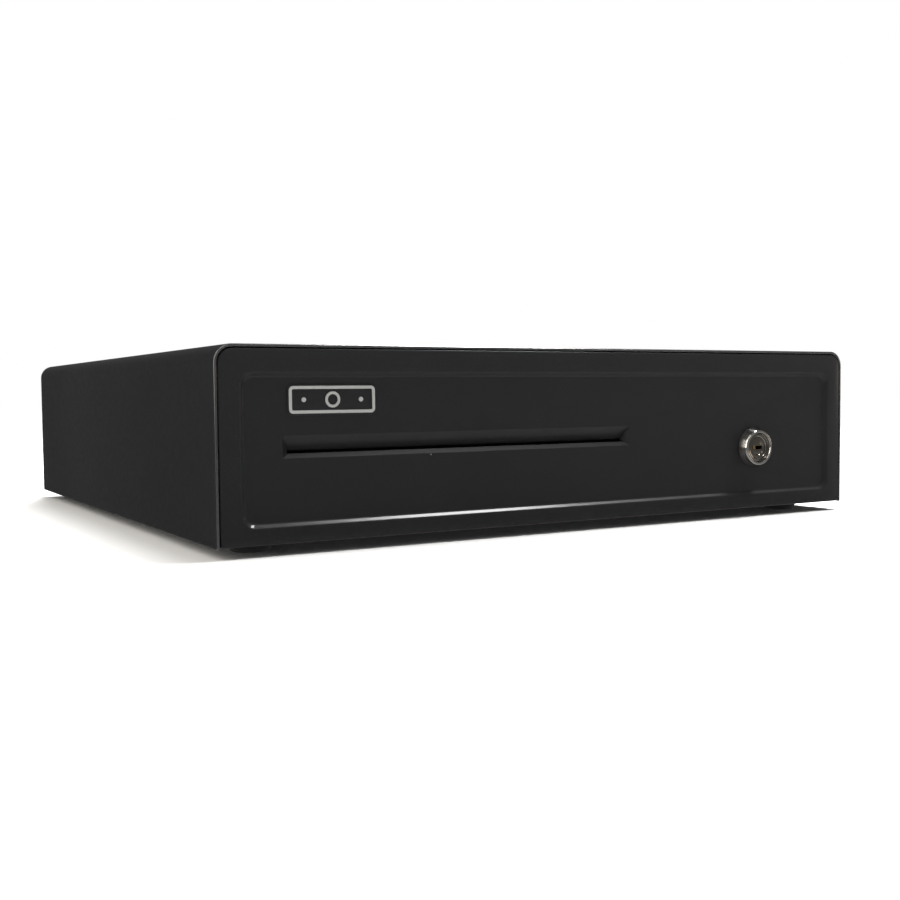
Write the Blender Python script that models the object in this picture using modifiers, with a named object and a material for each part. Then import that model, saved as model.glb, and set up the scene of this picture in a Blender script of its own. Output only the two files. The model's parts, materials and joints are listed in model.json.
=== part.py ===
"""Cash drawer: a folded steel case, a drawer on telescopic slides, its lock, latch and till.

Sizes are millimetres and become metres as each mesh is made. X runs to the right as seen from
the front, Y into the case, Z up. Depths are counted from the front plane, which the empty
"front_plane" places so that the whole object is centred on the origin.
"""

from math import cos, pi, radians, sin

import bmesh
import bpy
from mathutils import Matrix, Vector

MM = 0.001

# Case
CASE_WIDTH = 410.0
CASE_DEPTH = 415.0
CASE_HEIGHT = 94.8
FOOT_HEIGHT = 5.2
COVER_SHEET = 1.5
COVER_RADIUS = 9.0
SHEET = 1.2
GAP = 0.3
FRONT_CLEARANCE = 0.7
BACK_RECESS = 2.3
BASE_FLANGE = 13.5
FOOT_RADIUS = 11.0
FOOT_INSET_X = 26.0
FOOT_INSET_Y = 28.0

# Front panel
PANEL_RETURN = 8.0
PANEL_EDGE = 0.9
RECESS_DEPTH = 2.2
RECESS_SIDE = 12.3
RECESS_BOTTOM = 8.5
RECESS_TOP = 13.3
RECESS_RADIUS = 6.0
RECESS_SLOPE = 1.8
SLOT_LEFT = 33.5
SLOT_LENGTH = 208.0
SLOT_LOW = 40.7
SLOT_HIGH = 51.6
SLOT_MOUTH_LOW = 43.5
SLOT_MOUTH_HIGH = 46.2
SLOT_FUNNEL = 5.0
BADGE_LEFT = 36.0
BADGE_LENGTH = 47.0
BADGE_LOW = 61.0
BADGE_HEIGHT = 15.0
BADGE_THICKNESS = 0.8

# Lock
LOCK_FROM_RIGHT = 74.2
LOCK_ABOVE_BASE = 36.6
LOCK_PROUD = 3.8
BEZEL_RADIUS = 12.2
BEZEL_FRONT_RADIUS = 10.35
BEZEL_RIM = 1.2
BARREL_RADIUS = 9.3
BARREL_END = 20.0
PLUG_RADIUS = 6.3
PLUG_CLEARANCE = 0.25
KEYWAY_WIDTH = 8.4
KEYWAY_HEIGHT = 2.4
CAM_DEPTH = 21.0
CAM_THICKNESS = 2.0
TONGUE_REACH = 33.5
TONGUE_WIDTH = 9.0
CAM_PIN_RADIUS = 2.0
CAM_PIN_REACH = 10.0
CAM_PIN_LENGTH = 8.5
SHANK_PROUD = 1.0

# Slides
SLIDE_THICKNESS = 12.7
SLIDE_HALF_HEIGHT = 17.5
SLIDE_MIDDLE = 44.0
SLIDE_FRONT = 12.0
SLIDE_LENGTH = 358.0
SLIDE_SHEET = 1.2
CAGE_SHEET = 0.8

# Drawer, till and coin tray
TRAY_FLOOR = 6.8
TRAY_FRONT = 4.0
TRAY_BACK = 348.0
TRAY_WALL_TOP = 71.0
TILL_CLEARANCE = 1.4
TILL_WALL = 2.0
TILL_FRONT = 32.0
TILL_TOP = 79.0
TILL_FLOOR = 17.0
TILL_STOP_INSET = 9.5
NOTE_COUNT = 5
NOTE_LENGTH = 172.0
COIN_TRAY_TOP = 77.5
COIN_COLUMNS = 4
COIN_ROWS = 2
COIN_DEPTH = 38.0
CLIP_LENGTH = 95.0
CLIP_SLOPE = 34.0
CLIP_ROD_HEIGHT = 74.0
CLIP_ROD_SETBACK = 6.5
CLIP_ROD_RADIUS = 1.5
CLIP_WIDTH = 14.0

# Latch, in the case behind the drawer, and the release bar under the drawer
PIVOT_FROM_RIGHT = 35.0
PIVOT_Y = 390.0
LEVER_LOW = 20.0
LEVER_THICKNESS = 2.5
LEVER_ARM = 7.6
REAR_REACH = 10.0
STRIKER_FROM_RIGHT = 50.0
STRIKER_Y = 365.5
STRIKER_RADIUS = 2.5
BAR_FROM_RIGHT = 51.0
BAR_WIDTH = 12.0
BAR_LOW = 8.2
BAR_THICKNESS = 1.5
BAR_PIVOT_Y = 190.0
FORK_BEHIND_CAM = 6.4
KEEPER_LEFT = 9.0
KEEPER_RIGHT = 6.5
BRACKET_FRONT = 379.0
SOLENOID_FROM_RIGHT = 107.0
SOLENOID_LENGTH = 38.0
COIL_RADIUS = 8.2
PLUNGER_RADIUS = 4.0
SPRING_RADIUS = 8.0
SOCKET_FROM_LEFT = 85.0

# Heights and half widths that follow
BASE = FOOT_HEIGHT
TOP = BASE + CASE_HEIGHT
HALF = CASE_WIDTH / 2
INSIDE = HALF - COVER_SHEET
FRONT_Y = -(CASE_DEPTH - LOCK_PROUD) / 2
BACK_PANEL_Y = CASE_DEPTH - BACK_RECESS - SHEET
PANEL_HALF = INSIDE - FRONT_CLEARANCE
PANEL_LOW = BASE + 0.4
PANEL_HIGH = TOP - COVER_SHEET - FRONT_CLEARANCE
LOCK_X = HALF - LOCK_FROM_RIGHT
PIVOT_X = HALF - PIVOT_FROM_RIGHT
STRIKER_X = HALF - STRIKER_FROM_RIGHT
BAR_X = HALF - BAR_FROM_RIGHT
SOLENOID_LEFT = HALF - SOLENOID_FROM_RIGHT
SOCKET_X = SOCKET_FROM_LEFT - HALF
LOCK_Z = BASE + LOCK_ABOVE_BASE
SLIDE_X = INSIDE - GAP
TRAY_HALF = SLIDE_X - SLIDE_THICKNESS - GAP
TRAY_LOW = BASE + TRAY_FLOOR
TRAY_TOP = BASE + TRAY_WALL_TOP
TRAY_IN = TRAY_HALF - SHEET
TILL_HALF = TRAY_IN - TILL_CLEARANCE
TILL_BACK = TRAY_BACK - SHEET - 1.0
TILL_LOW = TRAY_LOW + SHEET + GAP
TILL_HIGH = BASE + TILL_TOP
TILL_DECK = BASE + TILL_FLOOR
NOTE_BACK = TILL_BACK - 5.8
NOTE_FRONT = NOTE_BACK - NOTE_LENGTH
NOTE_PITCH = (2 * TILL_HALF - TILL_WALL) / NOTE_COUNT
COIN_FRONT = TILL_FRONT + TILL_WALL
COIN_BACK = NOTE_FRONT - TILL_WALL
ROD_Y = NOTE_BACK - CLIP_ROD_SETBACK
ROD_Z = BASE + CLIP_ROD_HEIGHT
LEVER_MIDDLE = LEVER_LOW + LEVER_THICKNESS / 2
SLOT_LEFT_X = SLOT_LEFT - HALF
SLOT_RIGHT_X = SLOT_LEFT_X + SLOT_LENGTH


# ---------------------------------------------------------------- helpers

def clear_scene():
    for obj in list(bpy.data.objects):
        bpy.data.objects.remove(obj)


def collection(name):
    made = bpy.data.collections.new(name)
    bpy.context.scene.collection.children.link(made)
    return made


def material(name, colour, roughness, metallic):
    made = bpy.data.materials.new(name)
    made.use_nodes = True
    shader = made.node_tree.nodes["Principled BSDF"]
    shader.inputs["Base Color"].default_value = (*colour, 1.0)
    shader.inputs["Roughness"].default_value = roughness
    shader.inputs["Metallic"].default_value = metallic
    return made


def empty(name, place, parent=None):
    made = bpy.data.objects.new(name, None)
    PARTS.objects.link(made)
    made.parent = parent
    made.location = Vector(place) * MM
    return made


def put(name, mesh, finish, parent=None, place=(0, 0, 0), turn=(0, 0, 0)):
    """A named piece: its mesh, its material, and where it stands under its parent."""
    made = bpy.data.objects.new(name, mesh)
    PARTS.objects.link(made)
    if finish:
        mesh.materials.append(finish)
    made.parent = parent or FRAME
    made.location = Vector(place) * MM
    made.rotation_euler = turn
    return made


def helper(piece, target, operation):
    """Makes a piece a cutter or a joined shape of the target, out of the model itself."""
    PARTS.objects.unlink(piece)
    CUTTERS.objects.link(piece)
    piece.parent = target.parent
    piece.hide_render = True
    piece.display_type = "WIRE"
    boolean = target.modifiers.new(piece.name, "BOOLEAN")
    boolean.operation = operation
    boolean.object = piece


def cut(target, *cutters):
    for piece in cutters:
        helper(piece, target, "DIFFERENCE")


def join(target, *others):
    for piece in others:
        helper(piece, target, "UNION")


def mesh_from(name, shape, smooth=False):
    bmesh.ops.scale(shape, vec=(MM, MM, MM), verts=shape.verts)
    bmesh.ops.recalc_face_normals(shape, faces=shape.faces)
    mesh = bpy.data.meshes.new(name)
    shape.to_mesh(mesh)
    shape.free()
    if smooth:
        mesh.shade_smooth()
        mesh.set_sharp_from_angle(angle=radians(35))
    return mesh


def box(name, low, high, finish=None, parent=None, origin=(0, 0, 0), corner=0.0, along="y",
        segments=3, back_scale=None):
    """A block from its lowest to its highest corner. corner rounds the edges along one axis;
    back_scale narrows the far end in Y, for a sloping pocket."""
    low, high, origin = Vector(low), Vector(high), Vector(origin)
    shape = bmesh.new()
    bmesh.ops.create_cube(shape, size=1.0)
    bmesh.ops.scale(shape, vec=high - low, verts=shape.verts)
    if corner:
        axis = "xyz".index(along)
        edges = [e for e in shape.edges
                 if abs((e.verts[0].co - e.verts[1].co).normalized()[axis]) > 0.9]
        bmesh.ops.bevel(shape, geom=edges, offset=corner, segments=segments, profile=0.5,
                        affect="EDGES")
    if back_scale:
        far = [v for v in shape.verts if v.co.y > 0]
        bmesh.ops.scale(shape, vec=(back_scale[0], 1, back_scale[1]), verts=far)
    bmesh.ops.translate(shape, vec=(low + high) / 2 - origin, verts=shape.verts)
    return put(name, mesh_from(name, shape), finish, parent, origin)


def rod(name, start, end, radius, finish=None, parent=None, origin=(0, 0, 0), sides=20):
    start, end, origin = Vector(start), Vector(end), Vector(origin)
    shape = bmesh.new()
    run = end - start
    turn = run.to_track_quat("Z", "Y").to_matrix().to_4x4()
    matrix = Matrix.Translation((start + end) / 2 - origin) @ turn
    bmesh.ops.create_cone(shape, cap_ends=True, segments=sides, radius1=radius, radius2=radius,
                          depth=run.length, matrix=matrix)
    return put(name, mesh_from(name, shape, True), finish, parent, origin)


def turned(name, profile, finish, parent=None, place=(0, 0, 0), turn=(0, 0, 0), steps=24,
           closed=False):
    """A turned piece. The profile is (radius, height) points down the outer side; closed joins
    its last point to its first, for a piece with a bore."""
    mesh = bpy.data.meshes.new(name)
    points = [(r * MM, 0, z * MM) for r, z in profile]
    edges = [(i, i + 1) for i in range(len(points) - 1)]
    if closed:
        edges.append((len(points) - 1, 0))
    mesh.from_pydata(points, edges, [])
    made = put(name, mesh, finish, parent, place, turn)
    screw = made.modifiers.new("turn", "SCREW")
    screw.steps = screw.render_steps = steps
    screw.use_merge_vertices = True
    screw.merge_threshold = 0.00001
    screw.use_smooth_shade = True
    return made


def plate(name, outline, thickness, finish=None, parent=None, place=(0, 0, 0), turn=(0, 0, 0)):
    """A flat piece from its outline, its middle plane at place."""
    curve = bpy.data.curves.new(name, "CURVE")
    curve.dimensions = "2D"
    curve.fill_mode = "BOTH"
    curve.extrude = thickness / 2 * MM
    line = curve.splines.new("POLY")
    line.points.add(len(outline) - 1)
    for point, (x, y) in zip(line.points, outline):
        point.co = (x * MM, y * MM, 0, 1)
    line.use_cyclic_u = True
    drawn = bpy.data.objects.new(name, curve)
    PARTS.objects.link(drawn)
    bpy.context.view_layer.update()
    graph = bpy.context.evaluated_depsgraph_get()
    mesh = bpy.data.meshes.new_from_object(drawn.evaluated_get(graph))
    bpy.data.objects.remove(drawn)
    shape = bmesh.new()
    shape.from_mesh(mesh)
    bmesh.ops.remove_doubles(shape, verts=shape.verts, dist=0.000001)
    bmesh.ops.recalc_face_normals(shape, faces=shape.faces)
    shape.to_mesh(mesh)
    shape.free()
    mesh.name = name
    return put(name, mesh, finish, parent, place, turn)


def upright(name, outline, depth, thickness, finish=None, parent=None, origin=(0, 0, 0)):
    """A flat piece that stands across the case: its outline is (x, z), depth its middle."""
    ox, oy, oz = origin
    moved = [(x - ox, z - oz) for x, z in outline]
    made = plate(name, moved, thickness, finish, parent, origin)
    made.data.transform(Matrix.Translation((0, (depth - oy) * MM, 0)) @ Matrix.Rotation(pi / 2, 4, "X"))
    return made


def arc(centre, radius, start, end, count):
    """Points along an arc, in degrees."""
    return [(centre[0] + radius * cos(radians(start + (end - start) * i / count)),
             centre[1] + radius * sin(radians(start + (end - start) * i / count)))
            for i in range(count + 1)]


def bent_sheet(name, path, low, high, thickness, finish, parent=None, offset=-1.0, along="y"):
    """A folded sheet: its cross-section is an open path, run from low to high and given a wall."""
    shape = bmesh.new()
    if along == "y":
        points = [(x, low, z) for x, z in path]
        run = Vector((0, high - low, 0))
    else:
        points = [(low, y, z) for y, z in path]
        run = Vector((high - low, 0, 0))
    verts = [shape.verts.new(p) for p in points]
    edges = [shape.edges.new(pair) for pair in zip(verts, verts[1:])]
    grown = bmesh.ops.extrude_edge_only(shape, edges=edges)
    moved = [g for g in grown["geom"] if isinstance(g, bmesh.types.BMVert)]
    bmesh.ops.translate(shape, vec=run, verts=moved)
    bmesh.ops.scale(shape, vec=(MM, MM, MM), verts=shape.verts)
    mesh = bpy.data.meshes.new(name)
    shape.to_mesh(mesh)
    shape.free()
    made = put(name, mesh, finish, parent)
    wall = made.modifiers.new("wall", "SOLIDIFY")
    wall.thickness = thickness * MM
    wall.offset = offset
    wall.use_even_offset = True
    return made


def smooth_line(points, per_span):
    """Points on one smooth curve through the given points."""
    ends = [points[0]] + list(points) + [points[-1]]
    line = []
    for i in range(1, len(ends) - 2):
        a, b, c, d = (Vector(p) for p in ends[i - 1:i + 3])
        for k in range(per_span):
            t = k / per_span
            line.append(((2 * b) + (c - a) * t + (2 * a - 5 * b + 4 * c - d) * t ** 2
                         + (3 * b - a - 3 * c + d) * t ** 3) / 2)
    line.append(Vector(points[-1]))
    return line


def tube(name, points, radius, finish, parent=None, place=(0, 0, 0), turn=(0, 0, 0)):
    curve = bpy.data.curves.new(name, "CURVE")
    curve.dimensions = "3D"
    curve.bevel_depth = radius * MM
    curve.bevel_resolution = 1
    curve.use_fill_caps = True
    line = curve.splines.new("POLY")
    line.points.add(len(points) - 1)
    for point, where in zip(line.points, points):
        point.co = (*(Vector(where) * MM), 1)
    return put(name, curve, finish, parent, place, turn)


def coil_points(radius, length, turns, per_turn=10):
    count = turns * per_turn
    return [(radius * cos(2 * pi * i / per_turn), radius * sin(2 * pi * i / per_turn),
             length * i / count) for i in range(count + 1)]


def ease_edges(piece, width, segments=1, angle=50):
    bevel = piece.modifiers.new("eased edges", "BEVEL")
    bevel.width = width * MM
    bevel.segments = segments
    bevel.limit_method = "ANGLE"
    bevel.angle_limit = radians(angle)


# ---------------------------------------------------------------- case

def make_case():
    corner = COVER_RADIUS
    side, top = HALF - corner, TOP - corner
    path = [(-HALF, BASE)]
    path += arc((-side, top), corner, 180, 90, 8)
    path += arc((side, top), corner, 90, 0, 8)
    path.append((HALF, BASE))
    cover = bent_sheet("case_cover", path, 0, CASE_DEPTH, COVER_SHEET, BLACK, offset=1.0)
    ease_edges(cover, 0.35, angle=70)

    base_half = INSIDE - GAP
    bend = 2.0
    low = BASE
    path = [(-base_half, low + BASE_FLANGE)]
    path += arc((-base_half + bend, low + bend), bend, 180, 270, 3)
    path += arc((base_half - bend, low + bend), bend, 270, 360, 3)
    path.append((base_half, low + BASE_FLANGE))
    bent_sheet("base_plate", path, PANEL_RETURN + 0.6, BACK_PANEL_Y - GAP, SHEET, BLACK, offset=-1.0)

    back_half = INSIDE - GAP
    back_top = TOP - COVER_SHEET - GAP
    inner = COVER_RADIUS - COVER_SHEET
    outline = [(-back_half, BASE + GAP), (back_half, BASE + GAP)]
    outline += arc((back_half - inner, back_top - inner), inner, 0, 90, 4)
    outline += arc((-back_half + inner, back_top - inner), inner, 90, 180, 4)
    back = upright("back_panel", outline, BACK_PANEL_Y + SHEET / 2, SHEET, BLACK)
    flange_half = back_half - inner - 2
    join(back, box("back_flange", (-flange_half, BACK_PANEL_Y - 12, back_top - SHEET),
                   (flange_half, BACK_PANEL_Y + SHEET / 2, back_top)))
    cut(back, box("socket_hole", (SOCKET_X - 8.6, BACK_PANEL_Y - 2, 21.4),
                  (SOCKET_X + 8.6, CASE_DEPTH, 36.6)))

    head = [(0, 1.7), (2.2, 1.4), (3.0, 0.4), (3.0, 0), (1.5, 0), (1.5, -0.9), (0, -0.9)]
    for name, x in (("left", -1), ("right", 1)):
        for level, z in (("low", BASE + 22), ("high", TOP - 14)):
            hole = rod(f"screw_hole_{name}_{level}", (x * (HALF - 12), BACK_PANEL_Y - 2, z),
                       (x * (HALF - 12), CASE_DEPTH, z), 1.9, sides=16)
            cut(back, hole)
            turned(f"back_screw_{name}_{level}", head, STEEL,
                   place=(x * (HALF - 12), BACK_PANEL_Y + SHEET + 0.2, z),
                   turn=(-pi / 2, 0, 0), steps=16)


def make_feet():
    profile = [(0, 1.6), (4.5, 1.6), (4.5, 0.0), (FOOT_RADIUS - 2.2, 0.0), (FOOT_RADIUS - 1.4, 0.7),
               (FOOT_RADIUS, FOOT_HEIGHT - GAP), (0, FOOT_HEIGHT - GAP)]
    profile.reverse()
    for name, x, y in (("front_left", -1, FOOT_INSET_Y), ("front_right", 1, FOOT_INSET_Y),
                       ("rear_left", -1, CASE_DEPTH - FOOT_INSET_Y),
                       ("rear_right", 1, CASE_DEPTH - FOOT_INSET_Y)):
        turned(f"foot_{name}", profile, RUBBER, place=(x * (HALF - FOOT_INSET_X), y, 0), steps=20)


# ---------------------------------------------------------------- slides

def channel(name, side, web_near, web_far, half_height, lip_end, wall, start, end, parent):
    """One member of a slide: a web with a lip at its top and bottom. Places across the slide
    are counted from the case's wall inwards."""
    near = web_near if lip_end > web_near else web_far
    points = [(lip_end, half_height), (near, half_height), (near, -half_height),
              (lip_end, -half_height), (lip_end, -half_height + wall)]
    far = web_far if near == web_near else web_near
    points += [(far, -half_height + wall), (far, half_height - wall), (lip_end, half_height - wall)]
    outline = [(side * (SLIDE_X - u), SLIDE_MIDDLE + v) for u, v in points]
    return upright(name, outline, (start + end) / 2, end - start,
                   CAGE if wall == CAGE_SHEET else ZINC, parent)


def make_slides(drawer, middles, cages):
    end = SLIDE_FRONT + SLIDE_LENGTH
    height = SLIDE_HALF_HEIGHT
    step = SLIDE_SHEET + 2.0
    wall = SLIDE_SHEET
    for name, side in (("left", -1), ("right", 1)):
        channel(f"slide_case_{name}", side, 0, wall, height, 10.6, wall, SLIDE_FRONT, end, None)
        channel(f"slide_cage_outer_{name}", side, 1.9, 1.9 + CAGE_SHEET, height - wall - 0.9, 9.4,
                CAGE_SHEET, SLIDE_FRONT + 4, end - 40, cages[name][0])
        channel(f"slide_middle_{name}", side, 3.4, 3.4 + wall, height - step - 0.8, 11.0, wall,
                SLIDE_FRONT, end - 8, middles[name])
        channel(f"slide_cage_inner_{name}", side, 5.3, 5.3 + CAGE_SHEET, height - step - 2.9, 9.8,
                CAGE_SHEET, SLIDE_FRONT + 4, end - 60, cages[name][1])
        channel(f"slide_drawer_{name}", side, SLIDE_THICKNESS - wall, SLIDE_THICKNESS,
                height - 2 * step - 1.5, 7.0, wall, SLIDE_FRONT, TRAY_BACK, drawer)


# ---------------------------------------------------------------- drawer

def make_tray(drawer):
    tray = box("drawer_tray", (-TRAY_HALF, TRAY_FRONT, TRAY_LOW), (TRAY_HALF, TRAY_BACK, TRAY_TOP),
               BLACK, drawer)
    cut(tray, box("tray_inside", (-TRAY_IN, TRAY_FRONT + SHEET, TRAY_LOW + SHEET),
                  (TRAY_IN, TRAY_BACK - SHEET, TRAY_TOP + 5)))
    cut(tray, rod("tray_lock_hole", (LOCK_X, 0, LOCK_Z), (LOCK_X, 12, LOCK_Z), BARREL_RADIUS + 0.5))
    cut(tray, box("tray_slot_window", (SLOT_LEFT_X - 4, 0, BASE + SLOT_LOW - 5),
                  (SLOT_RIGHT_X + 4, 12, BASE + SLOT_HIGH + 3)))
    cut(tray, box("tray_cam_hole", (LOCK_X - 20, CAM_DEPTH - 3, TRAY_LOW - 3),
                  (BAR_X + 18, CAM_DEPTH + 11, TRAY_LOW + 3)))
    return tray


def make_panel(drawer):
    panel_top_radius = COVER_RADIUS - COVER_SHEET
    def outline(inset):
        half, low, high = PANEL_HALF - inset, PANEL_LOW + inset, PANEL_HIGH - inset
        r = panel_top_radius - inset
        return ([(-half, low), (half, low)] + arc((half - r, high - r), r, 0, 90, 5)
                + arc((-half + r, high - r), r, 90, 180, 5))
    panel = upright("front_panel", outline(0), PANEL_RETURN / 2, PANEL_RETURN, BLACK, drawer)
    bevel = panel.modifiers.new("pressed edge", "BEVEL")
    bevel.width = PANEL_EDGE * MM
    bevel.segments = 2
    bevel.limit_method = "ANGLE"
    bevel.angle_limit = radians(70)
    cut(panel, upright("panel_inside", outline(SHEET), SHEET + 10, 20))

    left, right = -HALF + RECESS_SIDE, HALF - RECESS_SIDE
    low, high = BASE + RECESS_BOTTOM, TOP - RECESS_TOP
    pan = box("panel_pan", (left - SHEET, SHEET - 0.4, low - SHEET),
              (right + SHEET, RECESS_DEPTH + SHEET, high + SHEET), corner=RECESS_RADIUS + SHEET)
    join(panel, pan)
    funnel = box("slot_funnel", (SLOT_LEFT_X - SHEET, RECESS_DEPTH + 0.5, BASE + SLOT_LOW - SHEET),
                 (SLOT_RIGHT_X + SHEET, RECESS_DEPTH + SLOT_FUNNEL + SHEET, BASE + SLOT_HIGH + SHEET))
    join(panel, funnel)
    width, height = right - left, high - low
    narrow = ((width - 2 * RECESS_SLOPE) / width, (height - 2 * RECESS_SLOPE) / height)
    cut(panel, box("recess", (left, -RECESS_DEPTH * 0.02, low), (right, RECESS_DEPTH, high),
                   corner=RECESS_RADIUS, segments=4, back_scale=narrow))
    pocket = box("slot_pocket", (SLOT_LEFT_X, RECESS_DEPTH - 0.2, BASE + SLOT_LOW),
                 (SLOT_RIGHT_X, RECESS_DEPTH + SLOT_FUNNEL, BASE + SLOT_HIGH))
    slope_slot(pocket)
    cut(panel, pocket)
    cut(panel, box("slot_mouth", (SLOT_LEFT_X + 3.2, RECESS_DEPTH + 2, BASE + SLOT_MOUTH_LOW + 0.1),
                   (SLOT_RIGHT_X - 3.2, RECESS_DEPTH + SLOT_FUNNEL + 4, BASE + SLOT_MOUTH_HIGH - 0.1)))
    cut(panel, rod("panel_lock_hole", (LOCK_X, -3, LOCK_Z), (LOCK_X, 9, LOCK_Z),
                   BARREL_RADIUS + 0.3, sides=24))

    box("badge", (BADGE_LEFT - HALF, RECESS_DEPTH - BADGE_THICKNESS - 0.1, BASE + BADGE_LOW),
        (BADGE_LEFT - HALF + BADGE_LENGTH, RECESS_DEPTH - 0.1, BASE + BADGE_LOW + BADGE_HEIGHT),
        SATIN, drawer, corner=3.0, segments=3)


def slope_slot(pocket):
    """Gives the note slot's pocket its sloping upper face, its lower lip and its slanted ends."""
    mouth = {1: BASE + SLOT_MOUTH_HIGH, -1: BASE + SLOT_MOUTH_LOW}
    middle = BASE + (SLOT_LOW + SLOT_HIGH) / 2
    deep = (RECESS_DEPTH + SLOT_FUNNEL - 0.1) * MM
    centre_x = (SLOT_LEFT_X + SLOT_RIGHT_X) / 2
    for vertex in pocket.data.vertices:
        if vertex.co.y > deep:
            vertex.co.z = mouth[1 if vertex.co.z > middle * MM else -1] * MM
            vertex.co.x += (-3.0 if vertex.co.x > centre_x * MM else 3.0) * MM


def make_lock(drawer, plug_axis):
    toward_user = (pi / 2, 0, 0)
    bore = PLUG_RADIUS + PLUG_CLEARANCE
    seat = RECESS_DEPTH - 0.3
    profile = [(BEZEL_FRONT_RADIUS - BEZEL_RIM, LOCK_PROUD), (BEZEL_FRONT_RADIUS - 0.3, LOCK_PROUD),
               (BEZEL_FRONT_RADIUS, LOCK_PROUD - 0.3), (BEZEL_RADIUS, -seat + 0.9),
               (BEZEL_RADIUS, -seat), (BARREL_RADIUS, -seat), (BARREL_RADIUS, -BARREL_END),
               (bore, -BARREL_END), (bore, LOCK_PROUD - 1.4), (BEZEL_FRONT_RADIUS - 1.7, LOCK_PROUD - 1.4)]
    turned("lock_barrel", profile, CHROME, drawer, (LOCK_X, 0, LOCK_Z), toward_user, 32, True)

    nut_radius = 14.0
    nut_y = TRAY_FRONT + SHEET + GAP
    outline = [(LOCK_X + nut_radius * cos(radians(60 * i)), LOCK_Z + nut_radius * sin(radians(60 * i)))
               for i in range(6)]
    nut = upright("lock_nut", outline, nut_y + 2, 4, STEEL, drawer)
    cut(nut, rod("nut_bore", (LOCK_X, nut_y - 3, LOCK_Z), (LOCK_X, nut_y + 8, LOCK_Z),
                 BARREL_RADIUS + 0.3, sides=24))

    origin = (LOCK_X, 0, LOCK_Z)
    plug = rod("lock_plug", (LOCK_X, -LOCK_PROUD + 1.6, LOCK_Z), (LOCK_X, BARREL_END + 0.6, LOCK_Z),
               PLUG_RADIUS, CHROME, plug_axis, origin, 24)
    plug.location = (0, 0, 0)
    shank = box("plug_shank", (-3.5, BARREL_END, -3.5), (3.5, CAM_DEPTH + CAM_THICKNESS + SHANK_PROUD, 3.5))
    join(plug, shank)
    cut(plug, box("keyway", (-KEYWAY_WIDTH / 2, -LOCK_PROUD - 2, -KEYWAY_HEIGHT / 2),
                  (KEYWAY_WIDTH / 2, 5, KEYWAY_HEIGHT / 2)))

    half = TONGUE_WIDTH / 2
    hub = 9.0
    edge = hub * cos(radians(30))
    outline = ([(-TONGUE_REACH + 2, half), (-TONGUE_REACH, half - 2), (-TONGUE_REACH, -half + 2),
                (-TONGUE_REACH + 2, -half), (-edge, -half)]
               + arc((0, 0), hub, 210, 250, 3) + [(-3.4, -CAM_PIN_REACH - 3.4), (3.4, -CAM_PIN_REACH - 3.4)]
               + arc((0, 0), hub, 290, 510, 10) + [(-edge, half)])
    cam = upright("lock_cam", outline, CAM_DEPTH + CAM_THICKNESS / 2, CAM_THICKNESS, ZINC, plug_axis)
    cut(cam, box("cam_square", (-3.8, CAM_DEPTH - 3, -3.8), (3.8, CAM_DEPTH + 5, 3.8)))
    join(cam, rod("cam_pin", (0, CAM_DEPTH + 0.5, -CAM_PIN_REACH), (0, CAM_DEPTH + CAM_PIN_LENGTH, -CAM_PIN_REACH),
                  CAM_PIN_RADIUS, sides=12))

    keeper_y = CAM_DEPTH - 0.8
    keeper = box("lock_keeper", (LOCK_X - KEEPER_LEFT, keeper_y - SHEET, BASE + SHEET + GAP),
                 (LOCK_X + KEEPER_RIGHT, keeper_y, TRAY_LOW - 0.7), ZINC)
    join(keeper, box("keeper_foot", (LOCK_X - KEEPER_LEFT, keeper_y - 9, BASE + SHEET + GAP),
                     (LOCK_X + KEEPER_RIGHT, keeper_y - 0.4, BASE + 2 * SHEET + GAP)))


def make_release_bar(drawer, bar_axis):
    left, right = BAR_X - BAR_WIDTH / 2, BAR_X + BAR_WIDTH / 2
    origin = (BAR_X, BAR_PIVOT_Y, BAR_LOW)
    fork_y = CAM_DEPTH + FORK_BEHIND_CAM
    bar = box("release_bar", (left, fork_y - 0.4, BAR_LOW), (right, 372.5, BAR_LOW + BAR_THICKNESS),
              ZINC, bar_axis, origin)
    bar.location = (0, 0, 0)
    slot = 4.5
    prong = slot + 3.5
    side, low = 0.4, BAR_LOW + 0.3
    outline = [(left - side, low), (right + side, low), (right + side, 27), (LOCK_X + prong, 27),
               (LOCK_X + prong, 45), (LOCK_X + slot, 45), (LOCK_X + slot, 27), (LOCK_X - slot, 27),
               (LOCK_X - slot, 45), (LOCK_X - prong, 45), (LOCK_X - prong, 22), (left - side, 22)]
    moved = [(x - BAR_X, z - BAR_LOW) for x, z in outline]
    fork = upright("bar_fork", moved, fork_y - BAR_PIVOT_Y, BAR_THICKNESS)
    join(bar, fork)
    join(bar, box("bar_finger", (-BAR_WIDTH / 2 + 0.4, 370.9 - BAR_PIVOT_Y, 0.2),
                  (BAR_WIDTH / 2 - 0.4, 372.2 - BAR_PIVOT_Y, 24.3 - BAR_LOW)))
    cut(bar, rod("bar_eye", (0, 0, -3), (0, 0, 5), 3.4))
    profile = [(0, 3.6), (3.0, 3.6), (3.0, 0.25), (5.5, 0.25), (5.5, -0.75), (0, -0.75)]
    turned("bar_stud", profile, STEEL, drawer, (BAR_X, BAR_PIVOT_Y, BAR_LOW - 0.55), steps=16)


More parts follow.
